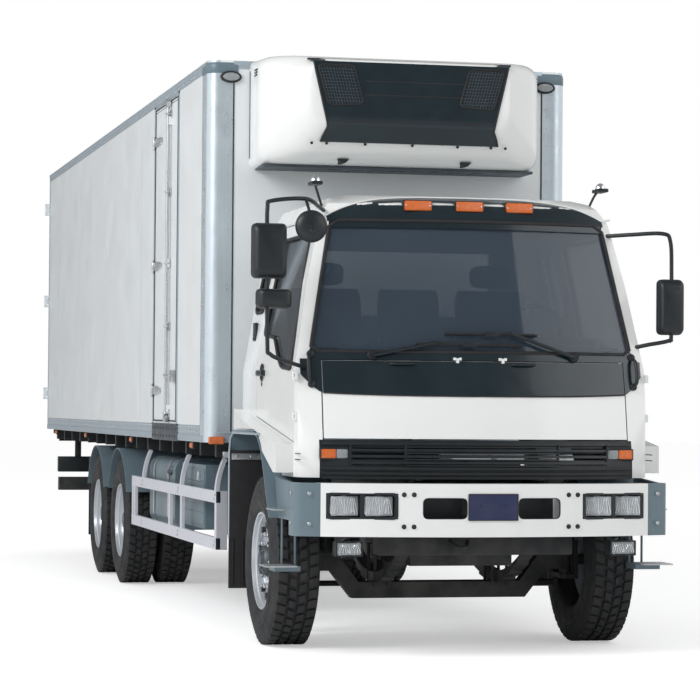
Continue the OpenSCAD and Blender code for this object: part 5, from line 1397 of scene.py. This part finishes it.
X_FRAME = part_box("rear_frame")[0].x
for name, s in SIDES:
    body = f"box_rear_door_{name}"
    z0, z1 = BOX_LOW + 0.13, BOX_TOP - 0.10
    yi, ye = s * 0.012, s * (W - 0.065)
    gasket = Piece(f"rear_gasket_{name}")
    ring = [(yi, z0), (ye, z0), (ye, z1), (yi, z1), (yi, z0)]
    for (a, b), (c, d) in zip(ring, ring[1:]):
        gasket.tube([(X_REAR - 0.001, a, b), (X_REAR - 0.001, c, d)], 0.008, 6)
    gasket.done(body, "rubber", 60)
    bars = Piece(f"rear_lock_{name}")
    for y in (s * 0.16, s * 0.86):
        for z in (z0 + 0.12, z0 + 0.62, z0 + 1.22, z0 + 1.75, z1 - 0.12):
            bars.block((X_REAR - 0.008, y - 0.040, z - 0.026), (X_REAR + 0.001, y + 0.040, z + 0.026),
                0.003)
            bars.tube(smooth_path([(X_REAR - out, y + dy, z) for out,
                    dy in ((0.006, -0.026), (0.036, -0.020), (0.041, 0.0), (0.036, 0.020), (0.006, 0.026))],
                    4), 0.007, 8)
            for u in (-1, 1):
                bars.disc((X_REAR - 0.008, y + 0.033 * u, z + 0.015), (-1, 0, 0), 0.0055, 0.004, 0.001, 10)
        for z in (z0 + 0.035, z1 - 0.035):
            bars.prism([(y + dy, z + dz) for dy, dz in ((-0.030, -0.024), (0.024, -0.026), (0.036, 0.006),
                    (0.006, 0.026), (-0.030, 0.016))], "x", X_REAR - 0.040, X_REAR - 0.012, 0.003)
        handle_z = z0 + (0.42 if abs(y) < 0.5 else 0.52)
        hand = s * 0.24 if abs(y) < 0.5 else -s * 0.24
        bars.tube(smooth_path([(X_REAR - 0.026, y, handle_z), (X_REAR - 0.040, y + hand * 0.25, handle_z),
                (X_REAR - 0.040, y + hand, handle_z - 0.01)], 5), 0.009, 8)
        bars.block((X_REAR - 0.032, y + hand * 0.82, handle_z - 0.045),
            (X_REAR + 0.001, y + hand * 1.08, handle_z + 0.025), 0.006)
    bars.done(body, "stainless", 38)
    leaf_trim = Piece(f"rear_leaf_trim_{name}")
    for a, b, c, d in ((yi, ye, z0 + 0.008, z0 + 0.05), (yi, ye, z1 - 0.05, z1 - 0.008)):
        leaf_trim.block((X_REAR - 0.003, a + s * 0.012, c), (X_REAR + 0.001, b - s * 0.012, d), 0.0012)
    for z in (z0 + 0.03, z1 - 0.03):
        rivets(leaf_trim, (X_REAR - 0.003, yi + s * 0.03, z), (X_REAR - 0.003, ye - s * 0.03, z), 0.10,
            (-1, 0, 0))
    leaf_trim.done(body, "rail_alu", 40)
    # tail lamp cluster on the underrun bar's arm
    y0, y1 = sorted((s * 0.76, s * 1.14))
    xt = X_REAR + 0.10
    holder = Piece(f"tail_lamp_housing_{name}")
    holder.block((xt - 0.025, y0 - 0.012, 0.800), (xt + 0.060, y1 + 0.012, 0.955), 0.010)
    holder.block((xt, (y0 + y1) / 2 - 0.03, 0.945), (xt + 0.04, (y0 + y1) / 2 + 0.03, BOX_LOW - 0.11),
        0.004)
    holder.done("chassis", "black_plastic", 40)
    third = (y1 - y0) / 3
    for k, key in enumerate(("red", "amber", "clear_lens") if s > 0 else ("clear_lens", "amber", "red")):
        tail_lens = Piece(f"tail_lens_{name}_{k + 1}")
        tail_lens.block((xt - 0.040, y0 + third * k + 0.003, 0.812),
            (xt - 0.018, y0 + third * (k + 1) - 0.003, 0.943), 0.009, 3)
        tail_lens.done("chassis", key)
    refl = Piece(f"reflector_{name}")
    refl.disc((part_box("underrun_bar")[0].x, s * 1.02, 0.70), (-1, 0, 0), 0.035, 0.008, 0.003, 24)
    refl.done("chassis", "red")
    flap = Piece(f"rear_mudflap_{name}")
    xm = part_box("rear_wheel_2_left")[0].x - 0.16
    flap.block((xm - 0.008, s * 0.60, 0.30), (xm + 0.004, s * 1.19, 0.98), 0.004)
    for k in range(7):
        y = 0.66 + 0.078 * k
        flap.block((xm - 0.013, s * (y - 0.007), 0.33), (xm + 0.009, s * (y + 0.007), 0.80), 0.003)
    flap.done("chassis", "rubber", 40)
    hanger = Piece(f"rear_mudflap_bar_{name}")
    hanger.block((xm - 0.018, s * 0.42, 0.955), (xm + 0.016, s * 1.19, 1.005), 0.005)
    for k in range(4):
        hanger.disc((xm - 0.018, s * (0.68 + 0.14 * k), 0.98), (-1, 0, 0), 0.010, 0.006, 0.002, 10)
    hanger.done("chassis", "frame_paint", 40)

top_strip = Piece("rear_frame_trim")
top_strip.block((X_FRAME - 0.001, -W + 0.03, BOX_TOP - 0.075), (X_FRAME + 0.003, W - 0.03, BOX_TOP - 0.012),
    0.0015)
top_strip.block((X_FRAME - 0.001, -W + 0.03, BOX_LOW + 0.02), (X_FRAME + 0.003, W - 0.03, BOX_LOW + 0.10),
    0.0015)
top_strip.done("chassis", "stainless", 40)
for k, y in enumerate((-0.95, -0.12, 0.12, 0.95)):
    top_lamp = Piece(f"rear_top_lamp_{k + 1}")
    top_lamp.block((X_FRAME - 0.012, y - 0.045, BOX_TOP - 0.062),
        (X_FRAME + 0.002, y + 0.045, BOX_TOP - 0.026), 0.008, 3)
    top_lamp.done("chassis", "red")
for name, s in SIDES:
    buffer = Piece(f"dock_buffer_{name}")
    buffer.block((X_FRAME - 0.012, s * 0.98, BOX_LOW - 0.045), (X_FRAME + 0.004, s * 1.18, BOX_LOW + 0.055),
        0.006)
    buffer.done("chassis", "rubber", 45)

roof_lines = Piece("roof_seams")
for k in range(1, 8):
    x = X_BOX - 9.37 * k / 8
    roof_lines.block((x - 0.022, -W + 0.07, BOX_TOP - 0.004), (x + 0.022, W - 0.07, BOX_TOP - 0.0002),
        0.0015)
roof_lines.done("chassis", "rail_alu", 40)

# Tank straps, caps and box latches
tank_lo, tank_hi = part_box("fuel_tank")
straps = Piece("tank_straps")
mid_y, mid_z = (tank_lo.y + tank_hi.y) / 2, (tank_lo.z + tank_hi.z) / 2
hy, hz = (tank_hi.y - tank_lo.y) / 2, (tank_hi.z - tank_lo.z) / 2
strap_line = rounded([(mid_y - hy - 0.004, mid_z - hz - 0.004), (mid_y + hy + 0.004, mid_z - hz - 0.004),
        (mid_y + hy + 0.004, mid_z + hz + 0.004), (mid_y - hy - 0.004, mid_z + hz + 0.004)], 0.11, 6)
for x in (tank_lo.x + 0.25, tank_hi.x - 0.30):
    verts, faces = [], []
    m = len(strap_line)
    for dx in (-0.028, 0.028):
        for k in (0.0, 0.004):
            verts += [(x + dx, y + (k if y > mid_y else -k), z) for y, z in strap_line]
    for a, b in ((0, 1), (1, 3), (3, 2), (2, 0)):
        faces += band(m, a * m, b * m)
    straps.add(verts, faces)
straps.done("chassis", "stainless", 40)
filler = Piece("tank_cap")
filler.lathe((tank_hi.x - 0.18, tank_lo.y + 0.03, tank_hi.z - 0.10), (0, -0.7, 0.7),
    [(0, 0), (0.045, 0), (0.045, 0.012), (0.052, 0.016), (0.052, 0.038), (0.046, 0.046), (0, 0.048)], 28)
filler.block((tank_hi.x - 0.225, tank_lo.y - 0.008, tank_hi.z - 0.078),
    (tank_hi.x - 0.135, tank_lo.y + 0.010, tank_hi.z - 0.062), 0.004)
filler.done("chassis", "dark_steel", 40)
latches = Piece("locker_latches")
panel_ribs = Piece("locker_ribs")
for x0, x1, s, z0, z1, yo in ((X_BOX - 1.85, X_BOX - 0.85, -1, 0.61, 1.06, 1.10),
        (X_BOX - 1.50, X_BOX - 0.75, 1, 0.64, 1.06, 1.10)):
    panel_ribs.block((x0 + 0.03, s * (yo - 0.004), z0 + 0.03), (x1 - 0.03, s * (yo + 0.006), z1 - 0.03),
        0.012)
    for k in range(1, 4):
        z = z0 + (z1 - z0) * k / 4
        panel_ribs.tube([(x0 + 0.08, s * (yo + 0.004), z), (x1 - 0.08, s * (yo + 0.004), z)], 0.007, 8)
    for x in (x0 + 0.2, x1 - 0.2):
        latches.block((x - 0.025, s * (yo + 0.004), z1 - 0.115), (x + 0.025, s * (yo + 0.020), z1 - 0.045),
            0.005)
        latches.tube([(x, s * (yo + 0.018), z1 - 0.05), (x, s * (yo + 0.024), z1 - 0.11)], 0.006, 8)
panel_ribs.done("chassis", "wing_paint", 40)
latches.done("chassis", "stainless", 40)

# Brakes, springs and lines under the frame
for label, node in (("mid", "rear_wheel_1_left"), ("rear", "rear_wheel_2_left")):
    lo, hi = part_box(node)
    for name, s in SIDES:
        can = Piece(f"brake_chamber_{label}_{name}")
        can.lathe(((lo.x + hi.x) / 2 - 0.20, s * 0.36, HUB_Z + 0.10), (-1, 0, 0.15),
            [(0, -0.06), (0.055, -0.06), (0.075, -0.02), (0.080, 0.0), (0.088, 0.004), (0.088, 0.016),
                (0.080, 0.020), (0.078, 0.10), (0.05, 0.125), (0, 0.13)], 28)
        can.done("chassis", "frame_paint", 40)
for name, s in SIDES:
    u_bolts = Piece(f"u_bolts_front_{name}")
    for dx in (-0.09, 0.09):
        u_bolts.tube([(X_AXLE + dx, s * y, HUB_Z + z) for y, z in ((0.335, -0.16), (0.335, 0.10),
                (0.425, 0.10), (0.425, -0.16))], 0.010, 8)
    u_bolts.done("chassis", "frame_paint", 40)
lines = Piece("air_lines")
for s in (-1, 1):
    rail = [(X_BUMPER - 0.5 - 0.95 * k, s * (0.452 + 0.006 * math.sin(1.7 * k)),
            1.0 + 0.012 * math.sin(2.3 * k)) for k in range(11)]
    lines.tube(smooth_path(rail, 5), 0.010, 8)
    lines.tube(smooth_path([(x, y, z - 0.032) for x, y, z in rail], 5), 0.007, 8)
lines.done("chassis", "rubber", 60)


# Softer looks on the pieces kept from the model ---------------------------------------------------


def smoother(angle):
    """A node group that welds the mesh and shades it smooth up to an angle."""
    group = bpy.data.node_groups.new(f"smooth_{angle}", "GeometryNodeTree")
    for way in ("INPUT", "OUTPUT"):
        group.interface.new_socket("Geometry", in_out=way, socket_type="NodeSocketGeometry")
    start, end = group.nodes.new("NodeGroupInput"), group.nodes.new("NodeGroupOutput")
    weld = add_node(group, "GeometryNodeMergeByDistance", Geometry=start.outputs[0], Distance=1e-5)
    every = add_node(group, "GeometryNodeSetShadeSmooth", Geometry=weld.outputs[0])
    bend = group.nodes.new("GeometryNodeInputMeshEdgeAngle").outputs["Unsigned Angle"]
    sharp = add_node(group, "GeometryNodeSetShadeSmooth", {"domain": "EDGE"}, Geometry=every.outputs[0],
        Selection=add_math(group, "GREATER_THAN", bend, math.radians(angle)), Shade_Smooth=False)
    group.links.new(sharp.outputs[0], end.inputs[0])
    return group


for angle, names in ((26, ("cab_roof", "cab_back", "cab_front", "cab_side_right", "cab_side_left",
            "front_lid", "cab_door_right", "cab_door_left", "windscreen", "grille")),
        (30, ("bumper", "bumper_caps", "front_fenders", "rear_mudguards", "fuel_tank", "side_boxes",
            "corner_posts", "side_guard_right", "side_guard_left", "dashboard", "front_axle", "rear_axles",
            "propshaft"))):
    group = smoother(angle)
    for name in names:
        NODES[name].modifiers.new("smooth", "NODES").node_group = group


# Camera, light and floor --------------------------------------------------------------------------


def camera():
    """The viewpoint, ahead of the truck and to its right, a standing person's eye height up."""
    place = Vector((X_BOX + 17.58, -4.30, 1.478))
    yaw, pitch, roll = math.radians(12.932), math.radians(1.220), math.radians(0.452)
    ahead = Vector((-math.cos(yaw) * math.cos(pitch), math.sin(yaw) * math.cos(pitch), math.sin(pitch)))
    level = ahead.cross(Vector((0, 0, 1))).normalized()
    upright = level.cross(ahead)
    right = math.cos(roll) * level + math.sin(roll) * upright
    up = math.cos(roll) * upright - math.sin(roll) * level
    data = bpy.data.cameras.new("camera")
    data.sensor_width = 36
    data.lens = 136.85
    data.clip_end = 200
    obj = bpy.data.objects.new("camera", data)
    bpy.context.scene.collection.objects.link(obj)
    obj.matrix_world = Matrix.Translation(place) @ Matrix((right, up, -ahead)).transposed().to_4x4()
    bpy.context.scene.camera = obj


def lamp(name, place, aim, size, power):
    data = bpy.data.lights.new(name, "AREA")
    data.size = size
    data.energy = power
    obj = bpy.data.objects.new(name, data)
    bpy.context.scene.collection.objects.link(obj)
    obj.location = place
    obj.rotation_euler = (Vector(aim) - Vector(place)).to_track_quat("-Z", "Y").to_euler()


def light():
    """A white world to the camera and to reflections, dimmer as a lamp, and two broad soft lamps."""
    world = bpy.data.worlds.new("studio")
    bpy.context.scene.world = world
    world.use_nodes = True
    tree = world.node_tree
    path = tree.nodes.new("ShaderNodeLightPath").outputs
    seen = add_math(tree, "MAXIMUM", path["Is Camera Ray"], path["Is Transmission Ray"])
    shiny = add_math(tree, "MAXIMUM", seen, path["Is Glossy Ray"])
    level = add_node(tree, "ShaderNodeMapRange", To_Min=WORLD_LEVEL, To_Max=1.0,
        Value=shiny).outputs["Result"]
    # Reflections see a dim sky ahead and bright panels to the sides
    way = tree.nodes.new("ShaderNodeTexCoord").outputs["Generated"]
    across = add_node(tree, "ShaderNodeSeparateXYZ", Vector=way).outputs["Y"]
    sides = add_node(tree, "ShaderNodeMapRange", From_Min=0.50, From_Max=0.80, To_Min=SKY_AHEAD, To_Max=1.1,
        Value=add_math(tree, "ABSOLUTE", across)).outputs["Result"]
    pick = add_node(tree, "ShaderNodeMix", Factor=path["Is Glossy Ray"], A=level, B=sides).outputs["Result"]
    back = tree.nodes["Background"]
    back.inputs["Color"].default_value = (1, 1, 1, 1)
    tree.links.new(pick, back.inputs["Strength"])
    lamp("key", (X_FRONT + 5, -13, 10), (1.0, 0, 1.5), 7, KEY_POWER)
    lamp("fill", (X_FRONT + 8, 10, 8), (2, 0, 1.5), 9, FILL_POWER)


def floor():
    """A pale floor that shows white to the camera but for the truck's soft shadow."""
    size = 90
    mesh = bpy.data.meshes.new("floor")
    mesh.from_pydata([(-size, -size, 0), (size, -size, 0), (size, size, 0), (-size, size, 0)], [],
        [(0, 1, 2, 3)])
    obj = bpy.data.objects.new("floor", mesh)
    bpy.context.scene.collection.objects.link(obj)
    mat = bpy.data.materials.new("floor")
    mat.use_nodes = True
    tree = mat.node_tree
    tree.nodes.clear()
    matte = add_node(tree, "ShaderNodeBsdfDiffuse", Color=(0.93, 0.93, 0.93, 1)).outputs[0]
    seen = tree.nodes.new("ShaderNodeLightPath").outputs["Is Camera Ray"]
    glow = add_node(tree, "ShaderNodeEmission", Strength=add_math(tree, "MULTIPLY", seen,
            FLOOR_GLOW)).outputs[0]
    both = tree.nodes.new("ShaderNodeAddShader")
    tree.links.new(matte, both.inputs[0])
    tree.links.new(glow, both.inputs[1])
    add_node(tree, "ShaderNodeOutputMaterial", Surface=both.outputs[0])
    mesh.materials.append(mat)


WORLD_LEVEL = 0.60
SKY_AHEAD = 0.28
KEY_POWER = 1500
FILL_POWER = 350
FLOOR_GLOW = 0.42

camera()
light()
floor()
bpy.context.scene.view_settings.view_transform = "Standard"
